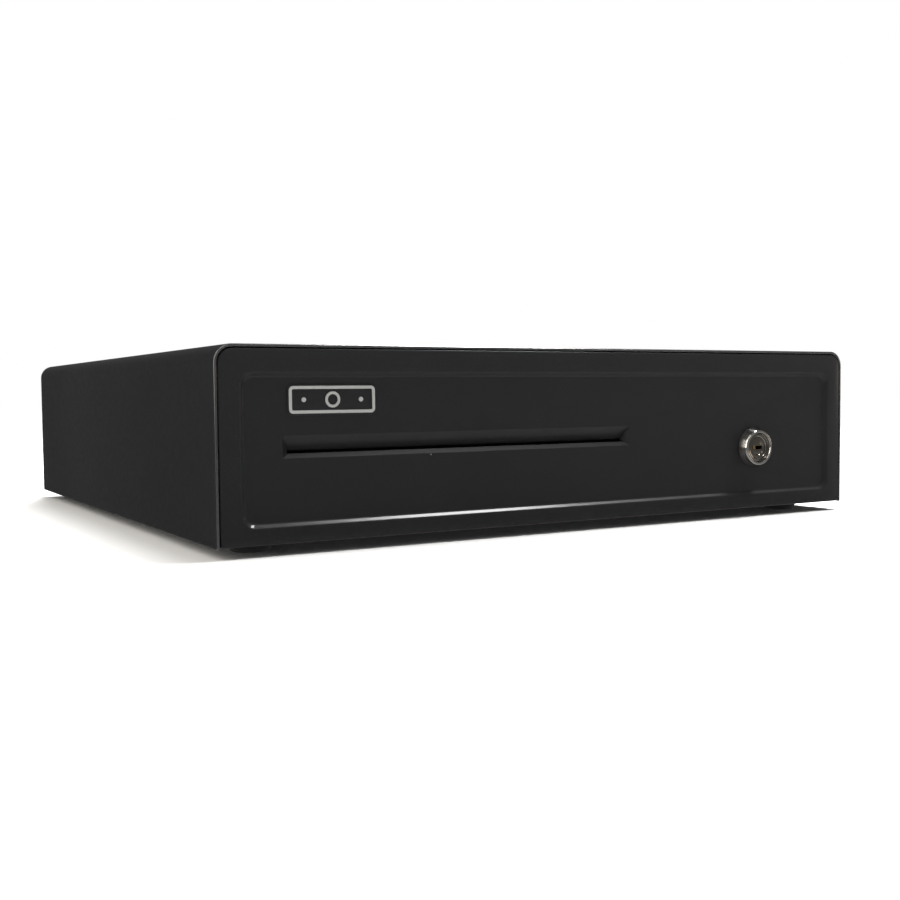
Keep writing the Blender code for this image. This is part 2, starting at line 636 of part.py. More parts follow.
def make_till(drawer):
    till = box("till", (-TILL_HALF, TILL_FRONT, TILL_LOW), (TILL_HALF, TILL_BACK, TILL_HIGH),
               PLASTIC, drawer)
    cut(till, box("under_till", (-TILL_HALF + 3, TILL_FRONT - 5, TILL_LOW - 3),
                  (TILL_HALF - 3, TILL_BACK - 3, TILL_DECK - TILL_WALL)))
    inner = TILL_HALF - TILL_WALL
    cut(till, box("coin_bay", (-inner, COIN_FRONT, TILL_DECK), (inner, COIN_BACK, TILL_HIGH + 5),
                  corner=3, along="z", segments=2))
    for i in range(NOTE_COUNT):
        left = -TILL_HALF + TILL_WALL + i * NOTE_PITCH
        cut(till, box(f"note_bay_{i + 1}", (left, NOTE_FRONT, TILL_DECK),
                      (left + NOTE_PITCH - TILL_WALL, NOTE_BACK, TILL_HIGH + 5), corner=3, along="z",
                      segments=2))
    cut(till, rod("rod_bore", (-TILL_HALF - 5, ROD_Y, ROD_Z), (TILL_HALF + 5, ROD_Y, ROD_Z),
                  CLIP_ROD_RADIUS + 0.2, sides=12))
    rod("clip_rod", (-TILL_HALF + 0.4, ROD_Y, ROD_Z), (TILL_HALF - 0.4, ROD_Y, ROD_Z),
        CLIP_ROD_RADIUS, STEEL, drawer, sides=12)

    half = inner - 1.0
    front, back = COIN_FRONT + 1.0, COIN_BACK - 1.0
    top = BASE + COIN_TRAY_TOP
    coins = box("coin_tray", (-half, front, TILL_DECK + GAP), (half, back, top), PLASTIC, drawer,
                corner=3, along="z", segments=2)
    wide = (2 * half - TILL_WALL) / COIN_COLUMNS
    deep = (back - front - TILL_WALL) / COIN_ROWS
    for row in range(COIN_ROWS):
        for column in range(COIN_COLUMNS):
            left = -half + TILL_WALL + column * wide
            near = front + TILL_WALL + row * deep
            cutter = box(f"coin_cup_{row + 1}_{column + 1}", (left, near, top - COIN_DEPTH),
                         (left + wide - TILL_WALL, near + deep - TILL_WALL, top + 20), corner=14,
                         along="x", segments=4)
            cut(coins, cutter)
    cut(coins, box("under_coins", (-half + 4, front + 4, TILL_DECK - 3),
                   (half - 4, back - 4, top - COIN_DEPTH - 2.5)))

    for name, x in (("left", -1), ("right", 1)):
        centre = x * (TRAY_IN - TILL_STOP_INSET)
        stop = box(f"till_stop_{name}", (centre - 8, TILL_FRONT - 2.5, TRAY_LOW + SHEET + GAP),
                   (centre + 8, TILL_FRONT - 1.0, TRAY_LOW + 24), ZINC, drawer)
        join(stop, box(f"till_stop_foot_{name}", (centre - 8, TILL_FRONT - 12, TRAY_LOW + SHEET + GAP),
                       (centre + 8, TILL_FRONT - 1.8, TRAY_LOW + 2 * SHEET + GAP)))


def make_clips(drawer):
    """The note clips: an arm from a barrel on the rod down to a turned-up tip on the notes."""
    tip = radians(180 + CLIP_SLOPE)
    along = Vector((cos(tip), sin(tip)))
    across = Vector((-along.y, along.x))
    def at(run, off):
        return tuple(along * run + across * off)
    outline = ([at(2.5, 1.5), at(CLIP_LENGTH - 12, 1.2), at(CLIP_LENGTH - 5, 1.8),
                at(CLIP_LENGTH, -2.0), at(CLIP_LENGTH - 1.2, -3.2), at(CLIP_LENGTH - 5.5, -0.2),
                at(CLIP_LENGTH - 12, -0.8), at(2.5, -1.5)])
    for i in range(NOTE_COUNT):
        centre = -TILL_HALF + TILL_WALL / 2 + (i + 0.5) * NOTE_PITCH
        hinge = empty(f"clip_axis_{i + 1}", (centre, ROD_Y, ROD_Z), drawer)
        arm = plate(f"note_clip_{i + 1}", outline, CLIP_WIDTH, PLASTIC, hinge)
        arm.data.transform(Matrix.Rotation(pi / 2, 4, "Z") @ Matrix.Rotation(pi / 2, 4, "X"))
        barrel = rod(f"clip_barrel_{i + 1}", (-CLIP_WIDTH / 2 - 4, 0, 0), (CLIP_WIDTH / 2 + 4, 0, 0),
                     3.6, sides=14)
        join(arm, barrel)
        cut(arm, rod(f"clip_bore_{i + 1}", (-20, 0, 0), (20, 0, 0), CLIP_ROD_RADIUS + 0.3, sides=12))


# ---------------------------------------------------------------- latch and electrics

def make_latch(drawer, lever_axis, plunger_axis):
    floor = BASE + SHEET + GAP
    bracket = box("latch_bracket", (SOLENOID_LEFT - 6, BRACKET_FRONT, floor),
                  (INSIDE - 17, BACK_PANEL_Y - 1.5, floor + 1.5), ZINC)
    wall_x = INSIDE - 18.5
    join(bracket, box("bracket_wall", (wall_x, BRACKET_FRONT + 8, floor + 0.5),
                      (wall_x + 1.5, BACK_PANEL_Y - 1.5, floor + 24)))

    pin_low = floor + 1.5 + GAP
    profile = [(0, LEVER_LOW + 5), (3.6, LEVER_LOW + 5), (4.2, LEVER_LOW + 4.2),
               (4.2, LEVER_LOW + LEVER_THICKNESS + GAP), (2.3, LEVER_LOW + LEVER_THICKNESS + GAP),
               (2.3, LEVER_LOW - GAP), (4.2, LEVER_LOW - GAP), (4.2, pin_low), (0, pin_low)]
    turned("latch_pivot_pin", profile, STEEL, place=(PIVOT_X, PIVOT_Y, 0), steps=16)

    left, right = -LEVER_ARM / 2, LEVER_ARM / 2
    tip = STRIKER_X + STRIKER_RADIUS + 1.0 - PIVOT_X
    outline = [(left, -30.5), (tip, -30.5), (tip, -31.5), (left, -36), (right, -36), (right, -2)]
    outline += [(right, REAR_REACH + 3), (right - 1.5, REAR_REACH + 4.5),
                (left + 1.5, REAR_REACH + 4.5), (left, REAR_REACH + 3)]
    lever = plate("latch_lever", outline, LEVER_THICKNESS, ZINC, lever_axis)
    lever.location = (0, 0, LEVER_MIDDLE * MM)
    cut(lever, rod("lever_eye", (0, 0, -5), (0, 0, 40), 2.6, sides=16),
        rod("lever_link_hole", (0, REAR_REACH, -5), (0, REAR_REACH, 40), 2.2, sides=16))

    bracket_y = STRIKER_Y + STRIKER_RADIUS + 2
    striker = box("striker", (STRIKER_X - 9, TRAY_BACK + GAP, 27), (STRIKER_X + 9, bracket_y, 28.5),
                  ZINC, drawer)
    join(striker, box("striker_plate", (STRIKER_X - 9, TRAY_BACK + GAP, 27.5),
                      (STRIKER_X + 9, TRAY_BACK + GAP + 1.5, 45)))
    join(striker, rod("striker_post", (STRIKER_X, STRIKER_Y, 15.5), (STRIKER_X, STRIKER_Y, 28),
                      STRIKER_RADIUS, sides=14))

    axis_y = PIVOT_Y + REAR_REACH
    stop_x = SOLENOID_LEFT + SOLENOID_LENGTH
    low = floor + 1.5 + GAP
    frame = box("solenoid_frame", (SOLENOID_LEFT, axis_y - 9, low), (stop_x, axis_y + 9, low + 1.5), ZINC)
    for name, x in (("near", SOLENOID_LEFT), ("far", stop_x - 1.5)):
        join(frame, box(f"frame_end_{name}", (x, axis_y - 9, low + 0.4), (x + 1.5, axis_y + 9, 33)))
    cut(frame, rod("frame_bore", (stop_x - 5, axis_y, LEVER_MIDDLE), (stop_x + 5, axis_y, LEVER_MIDDLE),
                   PLUNGER_RADIUS + 0.6))
    half = SOLENOID_LENGTH / 2 - 1.5 - GAP
    bore = PLUNGER_RADIUS + 0.4
    profile = [(bore, half), (9.0, half), (9.0, half - 1.5), (COIL_RADIUS, half - 1.5),
               (COIL_RADIUS, -half + 1.5), (9.0, -half + 1.5), (9.0, -half), (bore, -half)]
    turned("solenoid_coil", profile, COPPER, place=((SOLENOID_LEFT + stop_x) / 2, axis_y, LEVER_MIDDLE),
           turn=(0, pi / 2, 0), steps=20, closed=True)

    reach = PIVOT_X - 6 - stop_x
    plunger = rod("plunger", (-22, 0, 0), (reach + 9.5, 0, 0), PLUNGER_RADIUS, STEEL, plunger_axis)
    join(plunger, rod("plunger_collar", (reach - 8, 0, 0), (reach - 6, 0, 0), 6.2))
    slot = LEVER_THICKNESS / 2 + 0.5
    cut(plunger, box("plunger_slot", (reach - 1, -8, -slot), (reach + 14, 8, slot)))
    link_x = PIVOT_X - stop_x
    join(plunger, rod("plunger_link", (link_x, 0, -3), (link_x, 0, 3), 1.4, sides=12))
    spring = coil_points(5.2, reach - 8 - 1.6, 5, 9)
    tube("plunger_spring", [(z + 0.8, x, y) for x, y, z in spring], 0.4, STEEL,
         place=(stop_x, axis_y, LEVER_MIDDLE))


def make_switch(button_axis):
    left = PIVOT_X + 8
    body = box("switch_body", (left, PIVOT_Y + 5, 15), (left + 7.0, PIVOT_Y + 17, 27), PLASTIC)
    middle = PIVOT_Y + REAR_REACH + 1
    cut(body, box("button_well", (left - 1, middle - 2.8, LEVER_MIDDLE - 1.8),
                  (left + 3.5, middle + 2.8, LEVER_MIDDLE + 1.8)))
    button = box("switch_button", (-2.2, -2.5, -1.5), (1.5, 2.5, 1.5), BUTTON, button_axis)
    button.location = (0, 0, 0)


def make_kick_spring():
    height = 40.0
    rear = BACK_PANEL_Y - GAP
    profile = [(0, 38), (3.0, 38), (4.0, 37), (4.0, 2), (10.5, 2), (10.5, 0), (0, 0)]
    turned("spring_peg", profile, PLASTIC, place=(0, rear, height), turn=(pi / 2, 0, 0), steps=16)
    length = rear - 2 - TRAY_BACK - 2.6
    points = coil_points(SPRING_RADIUS, length, 7, 10)
    tube("kick_spring", points, 0.8, STEEL, place=(0, rear - 3.1, height), turn=(pi / 2, 0, 0))


def make_wiring():
    jack = box("socket", (SOCKET_X - 8, BACK_PANEL_Y - 15, 22), (SOCKET_X + 8, BACK_PANEL_Y + SHEET, 36),
               PLASTIC)
    cut(jack, box("jack_mouth", (SOCKET_X - 5, BACK_PANEL_Y - 9, 24.5),
                  (SOCKET_X + 5, BACK_PANEL_Y + 9, 32)))
    box("socket_board", (SOCKET_X - 14, BACK_PANEL_Y - 17.2, 12), (SOCKET_X + 14, BACK_PANEL_Y - 15.6, 44),
        BOARD)
    axis_y = PIVOT_Y + REAR_REACH
    start = BACK_PANEL_Y - 17.2 - GAP
    route = [(SOCKET_X, start, 20), (SOCKET_X, start - 4, 20), (SOCKET_X + 4, start - 9, 14),
             (SOCKET_X + 20, start - 10, 9.5), (SOCKET_X + 60, start - 8, 9),
             (SOLENOID_LEFT - 98, start - 10, 9), (SOLENOID_LEFT - 43, start - 6, 9),
             (SOLENOID_LEFT - 18, axis_y, 11), (SOLENOID_LEFT - 10, axis_y, 19),
             (SOLENOID_LEFT - 5, axis_y, LEVER_MIDDLE), (SOLENOID_LEFT - 0.4, axis_y, LEVER_MIDDLE)]
    tube("wiring", smooth_line(route, 4), 1.5, RUBBER)


# ---------------------------------------------------------------- the model

clear_scene()
PARTS = collection("cash_drawer")
CUTTERS = collection("cutters")
BLACK = material("black_powder_coat", (0.018, 0.018, 0.02), 0.42, 0.0)
ZINC = material("zinc_plated_steel", (0.55, 0.56, 0.58), 0.35, 1.0)
CAGE = material("cage_steel", (0.42, 0.43, 0.45), 0.4, 1.0)
STEEL = material("bright_steel", (0.6, 0.6, 0.6), 0.25, 1.0)
CHROME = material("chrome", (0.75, 0.74, 0.72), 0.1, 1.0)
SATIN = material("satin_silver", (0.45, 0.45, 0.45), 0.35, 1.0)
RUBBER = material("black_rubber", (0.02, 0.02, 0.02), 0.8, 0.0)
PLASTIC = material("black_moulded_plastic", (0.022, 0.022, 0.024), 0.5, 0.0)
COPPER = material("coil_winding", (0.45, 0.17, 0.07), 0.4, 0.4)
BOARD = material("circuit_board", (0.02, 0.16, 0.07), 0.5, 0.0)
BUTTON = material("switch_button_red", (0.4, 0.03, 0.02), 0.45, 0.0)

FRAME = None
FRAME = empty("front_plane", (0, FRONT_Y, 0))
DRAWER = empty("drawer_travel", (0, 0, 0), FRAME)
MIDDLES = {name: empty(f"middle_travel_{name}", (0, 0, 0), FRAME) for name in ("left", "right")}
CAGES = {name: [empty(f"cage_travel_{which}_{name}", (0, 0, 0), FRAME) for which in ("outer", "inner")]
         for name in ("left", "right")}
PLUG_AXIS = empty("lock_axis", (LOCK_X, 0, LOCK_Z), DRAWER)
BAR_AXIS = empty("bar_axis", (BAR_X, BAR_PIVOT_Y, BAR_LOW), DRAWER)
LEVER_AXIS = empty("lever_axis", (PIVOT_X, PIVOT_Y, 0), FRAME)
PLUNGER_AXIS = empty("plunger_axis", (SOLENOID_LEFT + SOLENOID_LENGTH, PIVOT_Y + REAR_REACH, LEVER_MIDDLE),
                     FRAME)
BUTTON_AXIS = empty("button_axis", (PIVOT_X + 8, PIVOT_Y + REAR_REACH + 1, LEVER_MIDDLE), FRAME)

make_case()
make_feet()
make_slides(DRAWER, MIDDLES, CAGES)
make_tray(DRAWER)
make_panel(DRAWER)
make_lock(DRAWER, PLUG_AXIS)
make_release_bar(DRAWER, BAR_AXIS)
make_till(DRAWER)
make_clips(DRAWER)
make_latch(DRAWER, LEVER_AXIS, PLUNGER_AXIS)
make_switch(BUTTON_AXIS)
make_kick_spring()
make_wiring()
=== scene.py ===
"""The looks of a steel cash drawer: powder-coated case and front, lock, slides, latch, till and studio.

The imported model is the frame, and places come from its boxes. Every new piece is shaped with
Blender's modelling operators, ends at the origin with its place in its mesh, and rides on the body
that it belongs to. Lengths in the code are metres; MM turns millimetres into metres.
"""

import json
from math import pi, radians

import bmesh
import bpy
from mathutils import Matrix, Vector


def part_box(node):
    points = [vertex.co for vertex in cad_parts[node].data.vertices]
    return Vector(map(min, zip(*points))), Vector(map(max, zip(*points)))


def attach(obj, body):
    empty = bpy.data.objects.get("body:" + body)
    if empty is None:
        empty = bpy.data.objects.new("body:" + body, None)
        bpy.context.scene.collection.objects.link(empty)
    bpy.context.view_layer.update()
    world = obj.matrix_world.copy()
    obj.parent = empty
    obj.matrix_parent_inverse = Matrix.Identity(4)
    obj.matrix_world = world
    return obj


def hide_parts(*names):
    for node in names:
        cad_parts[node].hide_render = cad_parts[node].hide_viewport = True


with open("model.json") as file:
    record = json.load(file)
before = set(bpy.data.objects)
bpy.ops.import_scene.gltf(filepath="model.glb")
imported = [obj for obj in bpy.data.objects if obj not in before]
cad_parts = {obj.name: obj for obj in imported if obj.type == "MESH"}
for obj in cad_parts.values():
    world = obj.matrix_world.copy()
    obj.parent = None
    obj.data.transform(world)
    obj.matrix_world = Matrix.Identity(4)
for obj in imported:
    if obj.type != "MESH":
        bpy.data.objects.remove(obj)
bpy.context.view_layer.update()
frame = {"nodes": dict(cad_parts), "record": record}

bl_info = {
    "name": "Cash drawer",
    "version": (1, 0, 0),
    "blender": (4, 5, 0),
    "location": "3D View > Sidebar > Cash drawer",
    "description": "Builds the finished pieces of a steel cash drawer around its packed model",
    "category": "Add Mesh",
}

MM = 0.001
TINY = 0.00001
TOWARD_USER = Vector((0, -1, 0))
UP = Vector((0, 0, 1))
NODES = frame["nodes"]
BODY_OF = {node: body for body, nodes in frame["record"]["behaviour"]["bodies"].items() for node in nodes}


def centre_of(node):
    low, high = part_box(node)
    return (low + high) / 2


# ---------------------------------------------------------------- sizes and colours

def length(name, description, millimetres):
    return bpy.props.FloatProperty(name=name, description=description, default=millimetres * MM,
                                   min=0.0, precision=4, unit="LENGTH", subtype="DISTANCE")


def colour(name, description, red, green, blue):
    return bpy.props.FloatVectorProperty(name=name, description=description, size=3, min=0.0, max=1.0,
                                         default=(red, green, blue), subtype="COLOR")


class DrawerSizes(bpy.types.PropertyGroup):
    """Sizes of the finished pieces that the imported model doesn't hold."""

    cover_sheet: length("Cover sheet", "Thickness of the folded cover", 1.5)
    cover_radius: length("Cover corner", "Outer radius of the cover's two long folds", 9.0)
    cover_edge: length("Cover edge", "Rounding along the cover's cut edges", 0.70)
    sheet: length("Sheet", "Thickness of the front panel's steel", 1.2)
    panel_radius: length("Panel corner", "Radius of the front panel's top corners", 7.5)
    panel_grow: length("Panel growth", "How far the finished panel reaches past its plain shape", 0.35)
    panel_fold: length("Panel fold", "Rounding where the front panel turns back", 0.9)
    recess_side: length("Recess side margin", "From the case's side to the pressed recess", 12.3)
    recess_bottom: length("Recess bottom margin", "From the case's underside to the recess", 8.5)
    recess_top: length("Recess top margin", "From the case's top to the recess", 13.3)
    recess_radius: length("Recess corner", "Corner radius of the pressed recess", 6.0)
    recess_depth: length("Recess depth", "How far the middle of the front is pressed in", 2.2)
    recess_slope: length("Recess slope", "Width of the sloping step round the recess", 1.8)
    recess_bend: length("Recess bend", "Rounding at the top and foot of the step", 0.80)
    slot_left: length("Slot from left", "From the case's left side to the note slot", 33.5)
    slot_length: length("Slot length", "Length of the note slot's pocket", 208.0)
    slot_low: length("Slot bottom", "Height of the pocket's lower edge above the case's underside", 40.7)
    slot_high: length("Slot top", "Height of the pocket's upper edge above the case's underside", 51.6)
    mouth_low: length("Mouth bottom", "Height of the slot's mouth above the case's underside", 42.9)
    mouth_high: length("Mouth top", "Upper edge of the slot's mouth above the case's underside", 44.2)
    lip_depth: length("Lip depth", "How far back the slot's lower lip slopes", 1.4)
    slot_end_slope: length("Slot end slope", "How far the slot's ends slope inwards", 3.0)
    slot_depth: length("Slot depth", "Depth of the pocket behind the recess", 5.0)
    keyway_width: length("Keyway width", "Width of the key's opening", 8.0)
    keyway_height: length("Keyway height", "Height of the key's opening", 2.2)


class DrawerColours(bpy.types.PropertyGroup):
    """Base colours of the finishes."""

    powder: colour("Powder coat", "Satin black powder coat", 0.0105, 0.0105, 0.0118)
    inside_powder: colour("Inside powder coat", "Powder coat on the sheets inside", 0.016, 0.016, 0.018)
    zinc: colour("Zinc plate", "Bright zinc plating", 0.60, 0.61, 0.63)
    cage: colour("Cage steel", "Pressed steel strip of the ball cages", 0.36, 0.37, 0.38)
    steel: colour("Bright steel", "Nickel-plated steel", 0.62, 0.61, 0.59)
    chrome: colour("Chrome", "Polished chrome plate", 0.62, 0.60, 0.57)
    # Painted shade: the plug's plate is kept far darker than the chrome so that it stands in for the dark
    # reflection on the plug's face.
    plug: colour("Plug nickel", "Duller plate on the lock's plug", 0.26, 0.235, 0.20)
    brass: colour("Brass", "Lock wafers", 0.62, 0.44, 0.18)
    silver: colour("Satin silver", "Emblem", 0.31, 0.31, 0.30)
    rubber: colour("Rubber", "Feet", 0.020, 0.020, 0.021)
    plastic: colour("Moulded plastic", "Till, coin tray and clips", 0.024, 0.024, 0.026)
    winding: colour("Winding", "Enamelled copper wire", 0.50, 0.17, 0.06)
    board: colour("Circuit board", "Green solder mask", 0.012, 0.13, 0.055)
    red: colour("Red plastic", "Switch button", 0.42, 0.03, 0.02)
    sleeve: colour("Wire sleeve", "Soft black sleeve", 0.018, 0.018, 0.019)
    gold: colour("Contacts", "Gold-plated contacts", 0.83, 0.62, 0.25)
    floor: colour("Floor", "Pale studio floor", 0.93, 0.93, 0.93)


def sizes():
    return bpy.context.scene.cash_drawer_sizes


def colours():
    return bpy.context.scene.cash_drawer_colours


# ---------------------------------------------------------------- finishes

def add_node(tree, kind, inputs=None, **settings):
    made = tree.nodes.new("ShaderNode" + kind)
    for key, value in settings.items():
        setattr(made, key, value)
    for key, value in (inputs or {}).items():
        made.inputs[key].default_value = value
    return made


def noise(tree, scale, detail=4.0, roughness=0.55, stretch=(1, 1, 1)):
    """A noise pattern on the piece's own coordinates, stretched along an axis for brushed grain."""
    where = add_node(tree, "TexCoord")
    mapping = add_node(tree, "Mapping", {"Scale": stretch})
    made = add_node(tree, "TexNoise", {"Scale": scale, "Detail": detail, "Roughness": roughness})
    tree.links.new(where.outputs["Object"], mapping.inputs["Vector"])
    tree.links.new(mapping.outputs["Vector"], made.inputs["Vector"])
    return made.outputs["Fac"]


def ranged(tree, value, low, high, start=0.3, end=0.7):
    made = add_node(tree, "MapRange", {"From Min": start, "From Max": end, "To Min": low, "To Max": high})
    tree.links.new(value, made.inputs["Value"])
    return made.outputs["Result"]


def mixed(tree, factor, first, second):
    """A colour between two colours, each given as numbers or as a socket."""
    made = add_node(tree, "Mix", data_type="RGBA")
    tree.links.new(factor, made.inputs[0])
    for socket, value in ((made.inputs[6], first), (made.inputs[7], second)):
        if isinstance(value, bpy.types.NodeSocket):
            tree.links.new(value, socket)
        else:
            socket.default_value = (*value, 1.0)
    return made.outputs[2]


def bumped(tree, height, strength, distance, under=None):
    made = add_node(tree, "Bump", {"Strength": strength, "Distance": distance})
    tree.links.new(height, made.inputs["Height"])
    if under:
        tree.links.new(under, made.inputs["Normal"])
    return made.outputs["Normal"]


def shaded(base, factor):
    return tuple(min(1.0, channel * factor) for channel in base)


def finish(name, metallic=0.0, specular=0.5, coat=0.0, coat_roughness=0.2, sheen=0.0):
    """A new material: its node tree and its shader, with the constant sockets set."""
    made = bpy.data.materials.new(name)
    made.use_nodes = True
    shader = made.node_tree.nodes["Principled BSDF"]
    shader.inputs["Metallic"].default_value = metallic
    shader.inputs["Specular IOR Level"].default_value = specular
    shader.inputs["Coat Weight"].default_value = coat
    shader.inputs["Coat Roughness"].default_value = coat_roughness
    shader.inputs["Sheen Weight"].default_value = sheen
    return made, made.node_tree, shader


def connect(tree, shader, **sockets):
    names = {"colour": "Base Color", "roughness": "Roughness", "normal": "Normal"}
    for key, value in sockets.items():
        tree.links.new(value, shader.inputs[names[key]])


def specks(tree, per_metre, radius):
    """1 on small dust specks scattered one to a cell, 0 elsewhere."""
    where = add_node(tree, "TexCoord")
    cells = add_node(tree, "TexVoronoi", {"Scale": per_metre})
    tree.links.new(where.outputs["Object"], cells.inputs["Vector"])
    near = ranged(tree, cells.outputs["Distance"], 1.0, 0.0, radius * per_metre * 0.5, radius * per_metre)
    pick_some = add_node(tree, "SeparateColor")
    tree.links.new(cells.outputs["Color"], pick_some.inputs["Color"])
    chosen = ranged(tree, pick_some.outputs["Red"], 0.0, 1.0, 0.68, 0.72)
    both = add_node(tree, "Math", operation="MULTIPLY")
    tree.links.new(near, both.inputs[0])
    tree.links.new(chosen, both.inputs[1])
    return both.outputs[0]


def powder_coat(name, base, gloss=0.44, specular=0.15, coat=0.4):
    """Fine-textured satin powder coat: orange-peel grain, faint cloudiness and a few bright specks."""
    made, tree, shader = finish(name, specular=specular, coat=coat, coat_roughness=0.19)
    cloud = ranged(tree, noise(tree, 11.0, 5.0), 0.0, 1.0)
    grain = noise(tree, 1500.0, 3.0, 0.6)
    body = mixed(tree, cloud, shaded(base, 0.93), shaded(base, 1.08))
    flecked = mixed(tree, ranged(tree, grain, 0.0, 0.30, 0.56, 0.74), body, shaded(base, 3.0))
    dusted = mixed(tree, specks(tree, 34.0, 0.00040), flecked, shaded(base, 20.0))
    peel = bumped(tree, noise(tree, 420.0, 2.0, 0.5), 0.10, 0.00030)
    connect(tree, shader, colour=dusted,
            roughness=ranged(tree, noise(tree, 340.0, 6.0, 0.7), gloss - 0.02, gloss + 0.05),
            normal=bumped(tree, grain, 0.16, 0.00012, peel))
    return made


def plated_steel(name, base, low, high, brush=(1, 40, 1), tint=(0.95, 1.0, 1.06)):
    """Plated sheet steel: drawn lines along the sheet, faint colour stains and scattered scuffs."""
    made, tree, shader = finish(name, metallic=1.0)
    lines = noise(tree, 90.0, 6.0, 0.7, tuple(40.0 / axis if axis > 1 else 12.0 for axis in brush))
    stain = ranged(tree, noise(tree, 35.0, 4.0), 0.0, 1.0)
    tinted = tuple(min(1.0, b * t) for b, t in zip(base, tint))
    plate = mixed(tree, stain, base, tinted)
    worn = mixed(tree, ranged(tree, lines, 0.0, 0.35, 0.45, 0.75), plate, shaded(base, 0.62))
    connect(tree, shader, colour=worn, roughness=ranged(tree, lines, low, high, 0.25, 0.75),
            normal=bumped(tree, lines, 0.12, 0.00008))
    return made


def chrome_plate(name, base):
    """Polished plate with faint smudges."""
    made, tree, shader = finish(name, metallic=1.0)
    smudge = noise(tree, 260.0, 5.0, 0.65)
    connect(tree, shader,
            colour=mixed(tree, ranged(tree, smudge, 0.0, 0.5), base, shaded(base, 0.78)),
            roughness=ranged(tree, smudge, 0.06, 0.20),
            normal=bumped(tree, noise(tree, 900.0, 2.0), 0.03, 0.00005))
    return made


def satin_paint(name, base):
    """Printed satin silver: fine metal flakes in a clear binder."""
    made, tree, shader = finish(name, metallic=0.15, coat=0.2, coat_roughness=0.25)
    flakes = noise(tree, 2600.0, 2.0, 0.6)
    tone = mixed(tree, ranged(tree, flakes, 0.0, 1.0), shaded(base, 0.85), shaded(base, 1.15))
    connect(tree, shader, colour=tone,
            roughness=ranged(tree, flakes, 0.32, 0.48), normal=bumped(tree, flakes, 0.10, 0.00005))
    return made


def moulded_plastic(name, base, low=0.38, high=0.56, grain_scale=1100.0):
    """Black moulding with a spark-eroded grain, cloudy gloss and light rub marks."""
    made, tree, shader = finish(name, specular=0.42)
    grain = noise(tree, grain_scale, 4.0, 0.6)
    rub = noise(tree, 45.0, 8.0, 0.75, (1, 3, 1))
    body = mixed(tree, ranged(tree, noise(tree, 9.0, 4.0), 0.0, 1.0), shaded(base, 0.85), shaded(base, 1.2))
    rubbed = mixed(tree, ranged(tree, rub, 0.0, 0.35, 0.58, 0.72), body, shaded(base, 3.2))
    connect(tree, shader, colour=rubbed, roughness=ranged(tree, rub, low, high, 0.35, 0.65),
            normal=bumped(tree, grain, 0.22, 0.00010))
    return made


def soft_rubber(name, base):
    made, tree, shader = finish(name, specular=0.30, sheen=0.12)
    dust = noise(tree, 140.0, 6.0, 0.7)
    connect(tree, shader,
            colour=mixed(tree, ranged(tree, dust, 0.0, 0.5, 0.5, 0.75), base, shaded(base, 3.5)),
            roughness=ranged(tree, dust, 0.62, 0.85), normal=bumped(tree, noise(tree, 1300.0), 0.25, 0.0001))
    return made


def wound_wire(name, base, wires_per_metre):
    """Turns of enamelled wire side by side along X, with painted shade in the grooves between turns."""
    made, tree, shader = finish(name, metallic=0.85, coat=0.6, coat_roughness=0.12)
    where = add_node(tree, "TexCoord")
    turns = add_node(tree, "TexWave",
                     {"Scale": wires_per_metre / 20.0 * pi, "Distortion": 0.25, "Detail": 1.0},
                     wave_type="BANDS", bands_direction="X", wave_profile="SIN")
    tree.links.new(where.outputs["Object"], turns.inputs["Vector"])
    connect(tree, shader,
            # Painted shade: the colour darkens to a quarter in the grooves between the turns.
            colour=mixed(tree, ranged(tree, turns.outputs["Fac"], 1.0, 0.0, 0.0, 0.6),
                         base, shaded(base, 0.25)),
            roughness=ranged(tree, noise(tree, 200.0), 0.22, 0.36),
            normal=bumped(tree, turns.outputs["Fac"], 0.7, 0.0002))
    return made


def circuit_board(name, base, copper):
    """Solder mask over copper tracks, which show as paler, raised lines."""
    made, tree, shader = finish(name, specular=0.5, coat=0.5, coat_roughness=0.15)
    where = add_node(tree, "TexCoord")
    tracks = add_node(tree, "TexBrick", {"Scale": 150.0, "Mortar Size": 0.035, "Mortar Smooth": 0.1,
                                         "Brick Width": 1.1, "Row Height": 0.36})
    turned_flat = add_node(tree, "Mapping", {"Rotation": (pi / 2, 0, 0)})
    tree.links.new(where.outputs["Object"], turned_flat.inputs["Vector"])
    tree.links.new(turned_flat.outputs["Vector"], tracks.inputs["Vector"])
    raised = tracks.outputs["Fac"]
    connect(tree, shader, colour=mixed(tree, ranged(tree, raised, 0.0, 0.55, 0.0, 1.0), base, copper),
            roughness=ranged(tree, noise(tree, 300.0), 0.25, 0.42), normal=bumped(tree, raised, 0.4, 0.0001))
    return made


